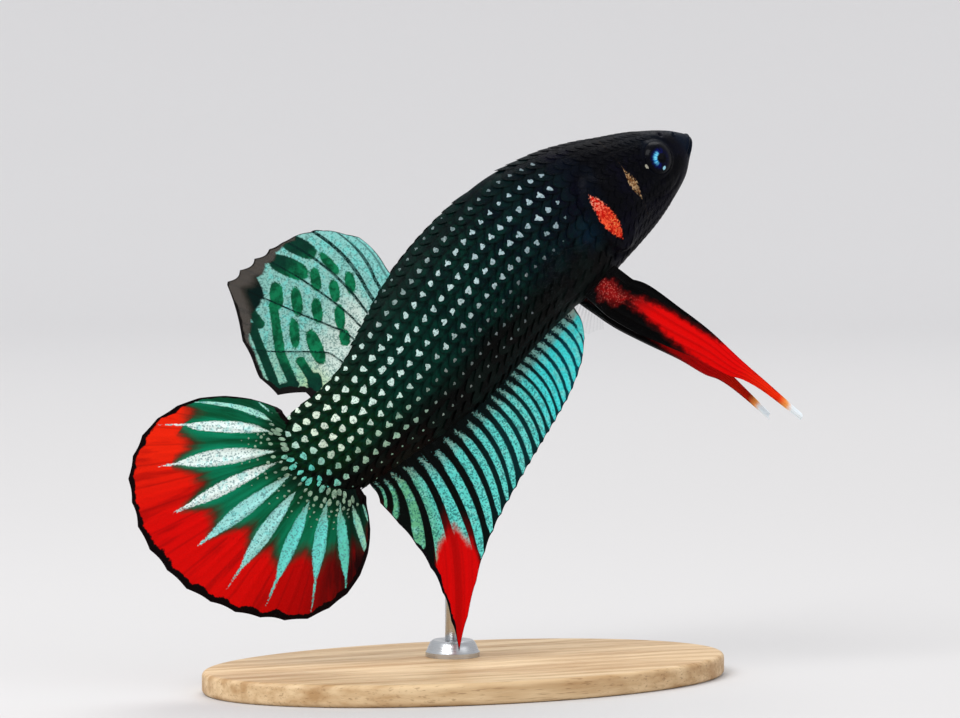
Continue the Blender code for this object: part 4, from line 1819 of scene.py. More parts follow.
@dataclass(frozen=True)
class Fin:
    """A thin ribbed sheet from a grid primitive. Subclasses give its points and its fields."""

    name: str = "fin"
    node: str = ""
    slot: str = ""
    columns: int = 192
    rows: int = 56
    thickness: float = 0.34
    thin: float = 0.3
    root_wall: float = 0.4
    root_reach: float = 0.07
    rays: int = 1

    def points(self, place: Array, along: Array) -> Places:
        """Return the middle sheet's places on the straight fish."""
        raise NotImplementedError

    def fields(self, place: Array, along: Array) -> Fields:
        """Return the numbers that the fin's finish reads. A field named rib lifts its rays."""
        raise NotImplementedError

    def margin_distance(self, place: Array, along: Array) -> Array:
        """Measure the distance to the margin, along the ray.

        Args:
            place, along: shares of the way round the fin and along its rays.

        Returns:
            The distances in millimetres.
        """
        here = np.stack(self.points(place, along))
        there = np.stack(self.points(place, np.ones_like(along)))
        return np.linalg.norm(here - there, axis=0)

    def rim_distance(self, place: Array, along: Array) -> Array:
        """Return the distance in millimetres to the margin or to the first or last ray."""
        rays = np.minimum(place, 1 - place) * self.rays * self.pitch(place, along, self.rays)
        return np.minimum(self.margin_distance(place, along), rays + 0.03)

    def pitch(self, place: Array, along: Array, count: float) -> Array:
        """Measure one ray's share of the fin.

        Args:
            place, along: shares of the way round the fin and along its rays.
            count: how many shares the fin has.

        Returns:
            The widths in millimetres.
        """
        step = 0.002
        above, below = np.minimum(place + step, 1), np.maximum(place - step, 0)
        gap = np.stack(self.points(above, along)) - np.stack(self.points(below, along))
        return np.linalg.norm(gap, axis=0) / ((above - below) * count)

    def wall(self, along: Array, ribs: Array) -> Array:
        """Make the fin fleshy at the root and thin at the margin.

        Args:
            along, ribs: each point's share of the way along its ray, and of a rib's height.

        Returns:
            The thickness in millimetres.
        """
        taper = 1 - 0.75 * smooth(along, 0.1, 1.0)
        flesh = self.root_wall * (1 - smooth(along, 0.0, self.root_reach))
        return self.thickness * (self.thin + (1 - self.thin) * ribs) * taper + flesh

    def build(self, material: Material) -> Object:
        """Make the fin from a grid primitive, thickened along its rays.

        Args:
            material: the fin's material.

        Returns:
            The fin.
        """
        deselect_all()
        bpy.ops.mesh.primitive_grid_add(
            x_subdivisions=self.columns, y_subdivisions=self.rows, size=1.0)
        item = added(self.name)
        sheet = points_of(item.data)
        place, along = np.clip(sheet[:, 0] + 0.5, 0, 1), np.clip(sheet[:, 1] + 0.5, 0, 1)
        item.data.uv_layers.remove(item.data.uv_layers[0])
        set_points(item.data, BODY.world(*self.points(place, along)))
        fields = self.fields(place, along)
        walls = self.wall(along, fields.pop("rib"))
        for label, values in fields.items():
            set_field(item.data, label, values)
        self.thicken(item, walls)
        face_outwards(item)
        return finish(item, material, (self.node or self.name,), smooth_angle=50)

    def thicken(self, item: Object, walls: Array) -> None:
        """Give the sheet its wall, by a weight for each point.

        Args:
            item: the sheet.
            walls: each point's wall in millimetres.
        """
        group = item.vertex_groups.new(name="walls")
        most = float(walls.max())
        for index, thickness in enumerate(walls):
            group.add((index,), float(thickness) / most, "REPLACE")
        modify(item, "SOLIDIFY", thickness=most * MM, offset=0.0, vertex_group="walls")
        item.vertex_groups.clear()


def sawtooth(value: Array) -> Array:
    """Return the distance of numbers to the nearest whole number."""
    return np.abs(value - np.round(value))


def scallop(ray: Array, depth: Array | float) -> Array:
    """Return the membrane's relative length, full on each ray and shorter between two."""
    return 1.0 - depth * np.abs(np.sin(math.pi * ray))


def root_gap(along: Array, gap: float) -> Array:
    """Return how far a fin's sheet lies off the body, sunk into it at the very root."""
    clear = smooth(along, 0.0, 0.1)
    return gap * clear - ROOT_SINK * (1 - clear)


def ray_point(root: Pair, tip: Pair, along: Array, bow: float) -> Pair:
    """Bow fin rays forward between their roots and tips.

    Args:
        root, tip: the ends, as places behind and up.
        along: shares of the way from root to tip.
        bow: the bow's depth as a share of the length.

    Returns:
        The points, as places behind and up.
    """
    sag = 4 * bow * along * (1 - along)
    run, rise = tip[0] - root[0], tip[1] - root[1]
    behind = root[0] + run * along - np.abs(rise) * sag
    return behind, root[1] + rise * along + np.abs(run) * sag * 0.3


def ray_tips(leading: Rows, trailing: Rows, ray: Array) -> Pair:
    """Find the tips of rays, whole or in between, of a fin whose margin has one corner.

    Args:
        leading, trailing: the margin before and after the corner, against the ray.
        ray: the rays.

    Returns:
        The tips, as places behind and up.
    """
    front, rear = Profile(leading)(ray), Profile(trailing)(ray)
    tips = np.where(ray <= leading[-1][0], front, rear)
    return tips[0], tips[1]


@dataclass(frozen=True)
class DorsalFin(Fin):
    """The dorsal fin, its rays leaning back from the top of the back."""

    name: str = "dorsal_sail"
    node: str = "dorsal_fin"
    slot: str = "mint_fin"
    columns: int = 240
    rows: int = 72
    rays: int = 12
    base: tuple[float, float] = (30.8, 43.0)
    gap: float = 0.3
    # the margin before and after its corner: ray, then behind and up
    leading: Rows = (
        (0, 31.1, 13.6), (2, 33.6, 16.2), (4, 36.9, 17.5), (6, 39.8, 18.0), (8, 43.1, 17.9),
    )
    trailing: Rows = (
        (8, 43.1, 17.9), (9, 44.4, 14.7), (10, 45.2, 11.8), (11, 45.7, 9.2), (12, 45.3, 6.7),
    )
    # rays at which the margin has its points
    tips: tuple[float, ...] = (0.0, 0.6, 1.8, 2.5, 3.9, 5.0, 6.1, 7.1, 8.1, 9.7, 11.1, 12.0)
    # where each dark ray leaves the back, where it meets the margin, and its half width in mm
    folds: Rows = (
        (0.45, 0.3, 0.05), (1.56, 1.1, 0.12), (2.65, 2.35, 0.14), (3.7, 3.9, 0.09),
        (4.85, 5.8, 0.06), (5.9, 8.1, 0.06), (7.9, 9.95, 0.04),
    )
    # dark spots: behind and up, half length, half width, lean of the long axis forward
    spots: Rows = (
        (34.2, 10.9, 1.0, 0.5, 27), (35.8, 11.2, 1.05, 0.5, 27), (36.6, 13.1, 1.1, 0.5, 27),
        (34.7, 13.4, 1.35, 0.42, -6), (36.8, 9.0, 1.2, 0.5, 30), (38.1, 10.8, 1.15, 0.5, 27),
        (39.1, 12.6, 1.35, 0.52, 27), (40.3, 14.1, 1.3, 0.62, 30), (37.9, 15.5, 2.0, 0.85, -30),
        (36.1, 16.4, 1.9, 0.8, -28), (40.9, 10.4, 1.4, 0.46, 30), (40.1, 8.2, 1.75, 0.64, 14),
        (37.5, 7.3, 0.8, 0.5, 30), (42.0, 5.7, 0.9, 0.7, 30),
    )
    bluntness: float = 2.4
    # dark stripes: from behind and up, to behind and up, half width
    stripes: Rows = (
        (41.0, 13.6, 42.0, 11.6, 0.42), (42.0, 11.6, 42.9, 9.8, 0.46),
        (42.9, 9.8, 43.6, 6.8, 0.44), (43.6, 13.2, 44.4, 9.9, 0.42),
        (44.4, 9.9, 45.1, 7.1, 0.42), (41.9, 8.0, 42.0, 6.2, 0.42),
        (42.9, 15.0, 42.9, 12.9, 0.42), (43.5, 6.6, 44.6, 7.0, 0.4),
    )
    # depth of the smoky zone inside the margin, against the ray
    smoke: Rows = (
        (3.2, 0.0), (3.5, 0.5), (4.0, 0.3), (4.6, 0.6), (5.5, 1.0), (6.5, 1.3), (7.2, 1.9),
        (7.6, 2.7), (8.0, 3.7), (8.3, 3.0), (8.7, 1.6), (9.5, 0.8), (10.5, 0.5), (12.0, 0.5),
    )

    def points(self, place: Array, along: Array) -> Places:
        """Lay out the middle sheet.

        Args:
            place, along: shares of the way round the fin and along its rays.

        Returns:
            The places on the straight fish.
        """
        behind = self.base[0] + (self.base[1] - self.base[0]) * place
        ray = place * self.rays
        root = behind, BODY.section(behind)[0] + root_gap(along, self.gap)
        phase = np.interp(ray, self.tips, np.arange(len(self.tips)))
        depth = 0.03 * smooth(ray, 3.6, 6.0) - 0.02 * (1 - smooth(ray, 2.5, 4.5))
        reach = along * scallop(phase, depth)
        across, up = ray_point(root, ray_tips(self.leading, self.trailing, ray), reach, 0.07)
        wave = 0.5 * along * np.sin(math.tau * 1.2 * place + 0.6)
        return across, wave, up

    def spotted(self, behind: Array, up: Array) -> Array:
        """Measure how deep places lie inside the nearest dark spot or stripe.

        Args:
            behind, up: the places.

        Returns:
            The depths in millimetres.
        """
        inside, blunt = np.full(len(behind), -1.0), self.bluntness
        for centre, height, half_length, half_width, lean in self.spots:
            turn = math.radians(lean)
            long = (up - height) * math.cos(turn) - (behind - centre) * math.sin(turn)
            wide = (behind - centre) * math.cos(turn) + (up - height) * math.sin(turn)
            ratio = (np.abs(long) / half_length) ** blunt + (np.abs(wide) / half_width) ** blunt
            inside = np.maximum(inside, (1 - ratio ** (1 / blunt)) * half_width)
        for behind_0, up_0, behind_1, up_1, half_width in self.stripes:
            run, rise = behind_1 - behind_0, up_1 - up_0
            part = (behind - behind_0) * run + (up - up_0) * rise
            part = np.clip(part / (run * run + rise * rise), 0, 1)
            gap = np.hypot(behind - behind_0 - run * part, up - up_0 - rise * part)
            inside = np.maximum(inside, half_width - gap)
        return inside

    def fields(self, place: Array, along: Array) -> Fields:
        """Work out the fields of folds, spots, smoky margin and dark margin.

        Args:
            place, along: shares of the way round the fin and along its rays.

        Returns:
            The fields by name.
        """
        ray = place * self.rays
        edge, pitch = self.rim_distance(place, along), self.pitch(place, along, self.rays)
        folds = np.array(self.folds)
        lines = folds[:, 0] + (folds[:, 1] - folds[:, 0]) * (1 - (1 - along[:, None]) ** 2.6)
        gaps = np.abs(ray[:, None] - lines) * pitch[:, None]
        fold = np.min(gaps - folds[:, 2], axis=1)
        behind, _, up = self.points(place, along)
        smoke = np.array(self.smoke)
        width = np.interp(ray, smoke[:, 0], smoke[:, 1])
        margin = 0.1 + 0.25 * smooth(ray, 8.2, 8.8) + 0.2 * smooth(ray, 10.5, 12)
        return {
            "ray": ray, "reach": along, "edge": edge, "fold": fold,
            "spot": self.spotted(behind, up),
            "smoke": np.where(ray > smoke[0, 0], width - edge, -1.0),
            "margin": margin, "rib": bell(np.min(gaps, axis=1), 0.13),
        }


@dataclass(frozen=True)
class AnalFin(Fin):
    """The anal fin, longest in the drawn-out tip near its rear end."""

    name: str = "anal_sail"
    node: str = "anal_fin"
    slot: str = "turquoise_fin"
    columns: int = 312
    rows: int = 64
    rays: int = 26
    base: tuple[float, float] = (18.6, 43.4)
    gap: float = 0.3
    leading: Rows = (
        (0, 19.4, -6.9), (2, 20.9, -8.6), (5, 24.0, -10.45), (13, 32.8, -13.5),
        (17, 38.6, -16.5), (20, 45.8, -22.6),
    )
    trailing: Rows = ((20, 45.8, -22.6), (22, 43.8, -17.2), (24, 43.2, -12.2), (26, 43.6, -6.9))
    # pale stripes: number, then ray at the root and at the margin
    stripes: Rows = (
        (0, 0.6, 0.2), (1, 1.6, 1.2), (3, 3.7, 3.5), (5, 5.75, 5.35), (8, 8.6, 7.75),
        (10, 10.6, 9.6), (12, 12.6, 11.85), (13, 13.75, 13.3), (14, 15.0, 14.15),
        (16, 17.55, 16.15), (17, 19.0, 17.3), (18, 20.55, 18.1), (19, 22.1, 21.9),
        (20, 23.6, 23.9), (21, 24.6, 25.3), (22, 25.4, 25.7), (23, 26.0, 26.3),
    )
    # share of the way along the ray at which the red starts, against the ray
    red_from: Rows = (
        (17.4, 1.1), (17.8, 0.9), (18.3, 0.72), (19.2, 0.56), (19.9, 0.42), (20.6, 0.47),
        (21.4, 0.56), (22.1, 0.68), (22.5, 0.85), (22.7, 1.1),
    )
    # where the pale patch at the front of the root lies, and its radius
    root_patch: tuple[float, float, float] = (19.0, -6.0, 0.5)

    def points(self, place: Array, along: Array) -> Places:
        """Lay out the middle sheet.

        Args:
            place, along: shares of the way round the fin and along its rays.

        Returns:
            The places on the straight fish.
        """
        behind = self.base[0] + (self.base[1] - self.base[0]) * place
        ray = place * self.rays
        root = behind, BODY.section(behind)[1] - root_gap(along, self.gap)
        reach = along * scallop(ray, 0.02)
        across, up = ray_point(root, ray_tips(self.leading, self.trailing, ray), reach, 0.1)
        wave = 0.45 * along * np.sin(math.tau * 1.4 * place)
        return across, wave, up

    def fields(self, place: Array, along: Array) -> Fields:
        """Work out the fields of stripes, red tip, rays and margin.

        Args:
            place, along: shares of the way round the fin and along its rays.

        Returns:
            The fields by name.
        """
        ray = place * self.rays
        edge, pitch = self.rim_distance(place, along), self.pitch(place, along, self.rays)
        length = np.maximum(self.margin_distance(place, np.zeros_like(along)), 0.5)
        table = np.array(self.stripes)
        lines = table[None, :, 1] + (table[:, 2] - table[:, 1])[None, :] * along[:, None]
        curled = ray - 0.35 * (1 - smooth(along, 0.0, 0.1))
        number = np.array([np.interp(r, line, table[:, 0]) for r, line in zip(curled, lines)])
        steps = np.diff(lines, axis=1) / np.diff(table[:, 0])
        spacing = [np.interp(r, line[:-1], gap) for r, line, gap in zip(ray, lines, steps)]
        half = 0.335 - 0.045 * smooth(ray, 8, 11) + 0.04 * bell(ray - 22.0, 0.8)
        half = half - 0.12 * smooth(ray, 24.2, 25.0)
        sheath = 0.045 * smooth(ray, 6, 12) + 0.015 * np.sin(ray * 2.1) * smooth(ray, 4, 8)
        half = half * (0.55 + 0.45 * smooth(along, sheath, sheath + 0.14))
        half = half * (1 - 0.4 * smooth(along, 0.85, 1.0))
        stripe = (half - sawtooth(number)) * pitch * np.array(spacing)
        stripe = np.where(along < sheath, -0.3, stripe)
        behind, _, up = self.points(place, along)
        patch_behind, patch_up, patch_radius = self.root_patch
        off_patch = np.hypot(behind - patch_behind, (up - patch_up) * 0.8)
        stripe = np.maximum(stripe, patch_radius - off_patch)
        limits = np.array(self.red_from)
        start = np.interp(ray, limits[:, 0], limits[:, 1], left=1.4, right=1.4)
        tip = bell(ray - 20.2, 3.2) * smooth(along, 0.5, 0.8)
        rear = smooth(ray, 20.2, 20.6) * (1 - smooth(ray, 23.4, 24.4))
        return {
            "ray": ray, "reach": along, "edge": edge, "stripe": stripe,
            "crimson": (along - start) * length, "line": smooth(sawtooth(ray), 0.3, 0.5),
            "margin": 0.1 + 0.08 * tip + 0.5 * rear, "rib": smooth(sawtooth(ray), 0.32, 0.0),
        }


@dataclass(frozen=True)
class CaudalFin(Fin):
    """The round tail fin, a fan from the arc at the tail's end."""

    name: str = "caudal_fan"
    node: str = "caudal_fin"
    slot: str = "red_fin"
    columns: int = 288
    rows: int = 80
    root_wall: float = 0.5
    root_reach: float = 0.2
    rays: int = 12
    centre: float = 53.4
    half_length: float = 9.3
    half_height: float = 11.65
    lean: float = 1.3
    angles: tuple[float, float] = (150.0, -149.0)
    base_centre: float = 45.1
    base_reach: float = 2.9
    base_lean: float = 0.8
    base_half_height: float = 5.25
    # streaks: ray at the root and at the margin, start and end, half width in mm, length of the
    # thin tip, bow, bluntness
    streaks: Rows = (
        (0.75, 0.35, 0.2, 0.85, 0.12, 0.05, 0.0, 2.0),
        (1.5, 1.8, 0.1, 0.98, 0.5, 0.03, -0.4, 3.0),
        (2.3, 2.7, 0.08, 0.95, 0.62, 0.2, 0.0, 3.6),
        (3.95, 3.88, 0.07, 0.82, 0.76, 0.1, -0.1, 1.7),
        (4.65, 5.05, 0.08, 0.77, 0.62, 0.03, 0.1, 1.6),
        (5.75, 6.0, 0.07, 0.76, 0.7, 0.03, 0.03, 1.6),
        (6.6, 7.1, 0.1, 0.88, 0.7, 0.14, 0.1, 1.6),
        (7.5, 8.0, 0.1, 0.93, 0.63, 0.19, 0.12, 1.6),
        (8.5, 9.05, 0.07, 0.97, 0.63, 0.27, 0.12, 1.6),
        (9.4, 9.95, 0.08, 0.98, 0.58, 0.12, 0.2, 1.8),
        (10.4, 10.95, 0.1, 1.0, 0.46, 0.02, 0.12, 4.0),
        (11.5, 11.6, 0.18, 1.0, 0.26, 0.02, 0.0, 4.0),
    )
    # share of the way along the ray at which the red starts, against the ray
    red_from: Rows = (
        (0.0, 1.4), (1.6, 1.15), (2.0, 0.86), (2.6, 0.74), (3.4, 0.62), (4.4, 0.56), (5.5, 0.56),
        (6.5, 0.47), (7.5, 0.51), (8.5, 0.45), (9.4, 0.5), (10.3, 0.62), (11.0, 0.75), (12.0, 1.0),
    )
    # rows of pale dots at the root: reach, first and last ray, spacing and radius in mm
    dots: Rows = (
        (0.035, 1.9, 10.4, 0.5, 0.24), (0.075, 1.6, 10.8, 0.45, 0.17),
        (0.115, 2.2, 11.0, 0.38, 0.14), (0.16, 2.8, 10.8, 0.36, 0.12),
        (0.21, 3.0, 10.6, 0.42, 0.1), (0.27, 3.2, 10.2, 0.5, 0.08),
    )
    dot_seed: int = 5
    dot_tone: Tone = (138, 168, 142)
    dot_blue: Tone = (96, 204, 184)
    first_row: float = 0.06

    def points(self, place: Array, along: Array) -> Places:
        """Lay out the middle sheet.

        Args:
            place, along: shares of the way round the fin and along its rays.

        Returns:
            The places on the straight fish.
        """
        turn = math.pi * (0.5 - place)
        inset = 0.9 * (1 - smooth(along, 0.0, 0.12))
        root = (self.base_centre + (self.base_reach - inset) * np.cos(turn)
                + self.base_lean * np.sin(turn), (self.base_half_height - inset) * np.sin(turn))
        angle = np.radians(self.angles[0] + (self.angles[1] - self.angles[0]) * place)
        tip = (self.centre + self.half_length * np.cos(angle) + self.lean * np.sin(angle),
               self.half_height * np.sin(angle))
        ray = place * self.rays
        flat = smooth(ray, 3.4, 4.6) * (1 - smooth(ray, 7.6, 8.6))
        grown = 1 + 0.042 * smooth(ray, 8.0, 9.2) - 0.018 * flat
        reach = along * (scallop(ray * 2, 0.012) + 0.004 * np.sin(place * 61)) * grown
        wave = 0.6 * along * np.sin(math.tau * 1.5 * place + 1.0)
        behind, up = ray_point(root, tip, reach, 0.0)
        return behind, wave, up

    def fields(self, place: Array, along: Array) -> Fields:
        """Work out the fields of streaks, red half, rays and margin.

        Args:
            place, along: shares of the way round the fin and along its rays.

        Returns:
            The fields by name.
        """
        ray = place * self.rays
        edge, pitch = self.rim_distance(place, along), self.pitch(place, along, self.rays)
        length = np.maximum(self.margin_distance(place, np.zeros_like(along)), 0.5)
        streak, nearest = np.full(len(ray), -2.0), np.full(len(ray), 9.0)
        for root, tip, start, end, half_width, hair, bow, blunt in self.streaks:
            centre = root + (tip - root) * along + 4 * bow * along * (1 - along)
            body_end = end - hair
            part = np.clip((along - start) / (body_end - start), 0, 1)
            rise = np.sin(math.pi / 2 * np.minimum(part / 0.55, 1)) ** 0.75
            half = half_width * rise * (1 - np.clip((part - 0.55) / 0.45, 0, 1) ** blunt)
            inside_hair = (along > start + 0.5 * (body_end - start)) & (along < end)
            thin = 0.1 * (1 - smooth(along, body_end, end)) + 0.02
            half = np.maximum(half, np.where(inside_hair, thin, -0.02))
            off = np.abs(ray - centre)
            beyond = np.maximum(start - along, along - end) * length
            streak = np.maximum(streak, np.minimum(half - off * pitch, 0.05 - beyond))
            nearest = np.minimum(nearest, off + smooth(along, body_end, body_end + 0.04))
        limits = np.array(self.red_from)
        start = np.interp(ray, limits[:, 0], limits[:, 1]) + 0.14 * (1 - smooth(nearest, 0.0, 0.45))
        fine = sawtooth(ray * 2 + 0.5 * smooth(along, 0.55, 0.6))
        line = smooth(fine * pitch / 2, 0.12, 0.02)
        return {
            "ray": ray, "reach": along, "edge": edge, "streak": streak,
            "crimson": (along - start) * length, "line": line,
            "rib": smooth(sawtooth(ray * 2) * pitch / 2, 0.3, 0.0),
        }

    def build_dots(self, material: Material) -> Object:
        """Make the pale dots that run on from the body's spots, on both faces of the fin's root.

        Args:
            material: the spots' material.

        Returns:
            The dots, joined.
        """
        chances = np.random.default_rng(self.dot_seed)
        spots = [(ray + chances.uniform(-0.1, 0.1), reach + chances.uniform(-0.012, 0.012),
                  radius * chances.uniform(0.7, 1.15), side.value)
                 for side in Side for reach, first, last, spacing, radius in self.dots
                 for ray in np.arange(first, last, spacing)]
        ray, reach, radius, side = np.array(spots).T
        bare_from = np.where(reach > self.first_row, -0.1, 9.0)
        bare = self.fields(ray / self.rays, reach)["streak"] < bare_from
        place, reach, radius, side = (
            column[bare][:, None] for column in (ray / self.rays, reach, radius, side))
        template, shape, under, centre = disc(8)
        flat = shape * ~under[:, None]
        pitch = self.pitch(place[:, 0], reach[:, 0], self.rays)[:, None] * self.rays
        length = self.margin_distance(place[:, 0], np.zeros(len(place)))[:, None]
        wobble = chances.uniform(0.8, 1.2, (len(place), len(shape)))
        across = place + radius * wobble * flat[:, 0] / pitch
        along = np.clip(reach + radius * wobble * flat[:, 1] / length, 0.0, 1.0)
        size, round_fin = across.shape, (across.ravel(), along.ravel())
        behind, left, up = (values.reshape(size) for values in self.points(*round_fin))
        wall = self.wall(round_fin[1], self.fields(*round_fin)["rib"]).reshape(size)
        rise = np.where(under, -0.08, np.where(centre, 0.07, 0.015))
        item = copies("root_dots", template, (behind, left + side * (wall / 2 + rise), up))
        ray = place * self.rays
        blue = smooth(ray, 4.0, 5.0) * (1 - smooth(ray, 7.4, 8.4)) * (reach < self.first_row)
        plain, bluish = (np.array([srgb(*tone)[:3]]) for tone in (self.dot_tone, self.dot_blue))
        tint = (plain * (1 - blue) + bluish * blue) * chances.uniform(0.7, 1.1, (len(place), 1))
        set_field(item.data, "tint", np.repeat(tint, len(shape), axis=0))
        patch_v = 0.02 + 0.45 * reach + np.where(side > 0, 0.0, 0.49)
        map_patches(item.data, 0.02 + 0.96 * place + BAKE_PATCH * flat[:, 0] / 2,
                    patch_v + BAKE_PATCH * flat[:, 1] / 2)
        face_outwards(item)
        return finish(item, material, smooth_angle=60)


@dataclass(frozen=True)
class PelvicFin(Fin):
    """One long pelvic blade that hangs forward and outward from the breast."""

    columns: int = 36
    rows: int = 150
    slot: str = "pelvic_red"
    thickness: float = 0.4
    side: Side = Side.RIGHT
    # reach, then the front edge and the rear edge, each behind and up, and the place outwards
    sections: Rows = (
        (0, 13.25, -4.75, 17.2, -5.1, 0.9),
        (1, 11.9, -6.6, 16.0, -8.2, 1.15),
        (2, 10.7, -10.2, 14.4, -11.2, 1.45),
        (3, 9.7, -13.6, 12.2, -15.0, 1.8),
        (4, 8.95, -17.4, 10.75, -17.95, 2.1),
        (4.4, 8.65, -18.85, 9.8, -19.3, 2.25),
        (5, 8.15, -21.1, 8.9, -21.45, 2.5),
        (6, 7.2, -25.4, 7.6, -25.8, 2.8),
    )
    crown: float = 0.25
    rays: int = 5
    root_wall: float = 0.0
    # edges of the red core across the blade, against the reach
    core: Rows = (
        (0.0, 0.6, 0.45), (0.012, 0.4, 0.68), (0.03, 0.3, 0.8), (0.045, 0.38, 0.74),
        (0.06, 0.4, 0.68), (0.08, 0.38, 0.62), (0.1, 0.42, 0.5), (0.15, 0.36, 0.56),
        (0.2, 0.3, 0.6), (0.25, 0.25, 0.64), (0.3, 0.21, 0.7), (0.35, 0.19, 0.78),
        (0.4, 0.18, 0.86), (0.45, 0.17, 0.94), (0.5, 0.13, 1.04), (0.55, 0.05, 1.1),
        (0.62, -0.1, 1.2), (1.0, -0.2, 1.2),
    )

    def points(self, place: Array, along: Array) -> Places:
        """Lay out the middle sheet.

        Args:
            place, along: shares of the way round the fin and along its rays.

        Returns:
            The places on the straight fish.
        """
        row = Profile(self.sections)(along * self.sections[-1][0])
        root = 1 - smooth(along, 0.0, 0.07)
        behind = row[0] + (row[2] - row[0]) * place + 0.5 * root
        up = row[1] + (row[3] - row[1]) * place + 1.8 * root
        crown = self.crown * np.sin(math.pi * place)
        return behind, self.side.value * (row[4] + crown + 0.85 * root), up

    def fields(self, place: Array, along: Array) -> Fields:
        """Work out the fields of the red core, the rays and the left fin's painted shade.

        Args:
            place, along: shares of the way round the fin and along its rays.

        Returns:
            The fields by name.
        """
        front, rear = Profile(self.core)(along)
        width = self.pitch(place, along, 1.0)
        core = np.minimum(place - front, rear - place) * width
        line = smooth(sawtooth(place * self.rays), 0.25, 0.02)
        # painted shade: 1 on the left fin, whose red is darkened, and 0 on the right
        shade = np.full(len(along), 0.0 if self.side is Side.RIGHT else 1.0)
        return {"reach": along, "core": core, "line": line, "shade": shade,
                "rib": line * smooth(along, 0.0, 0.05)}


@dataclass(frozen=True)
class PectoralFin(Fin):
    """One pectoral fin, a clear fan folded back along the flank."""

    columns: int = 96
    rows: int = 32
    slot: str = "clear_fin"
    root_wall: float = 0.15
    thickness: float = 0.2
    thin: float = 0.35
    side: Side = Side.RIGHT
    behind: float = 15.2
    root: tuple[float, float] = (1.0, -1.6)
    length: float = 8.5
    angles: tuple[float, float] = (22.0, -42.0)
    spread: float = 24.0
    rays: int = 6
    out: float = 0.55

    def points(self, place: Array, along: Array) -> Places:
        """Lay out the middle sheet.

        Args:
            place, along: shares of the way round the fin and along its rays.

        Returns:
            The places on the straight fish.
        """
        root_up = self.root[0] + (self.root[1] - self.root[0]) * place
        back, belly, half_width, keel = BODY.section(np.full(len(place), self.behind))
        rise = (root_up - (back + belly) / 2) / ((back - belly) / 2)
        root_out = half_width * np.cos(np.arcsin(rise)) ** keel + self.out
        angle = np.radians(self.angles[0] + (self.angles[1] - self.angles[0]) * place)
        length = self.length * (0.72 + 0.28 * np.sin(math.pi * place))
        reach = length * along * scallop(place * self.rays, 0.03)
        spread = math.radians(self.spread)
        behind = self.behind + reach * np.cos(angle) * math.cos(spread)
        left = self.side.value * (root_out + reach * math.sin(spread))
        return behind, left, root_up + reach * np.sin(angle)

    def fields(self, place: Array, along: Array) -> Fields:
        """Work out the fields of the rays, which split in two half way out.

        Args:
            place, along: shares of the way round the fin and along its rays.

        Returns:
            The fields by name.
        """
        ray = place * self.rays * 2
        branch = np.where(along > 0.5, sawtooth(ray * 2) / 2, sawtooth(ray))
        line = smooth(branch * self.pitch(place, along, self.rays * 2), 0.16, 0.03)
        return {"reach": along, "line": line, "rib": line}


# ---------------------------------------------------------------- stand


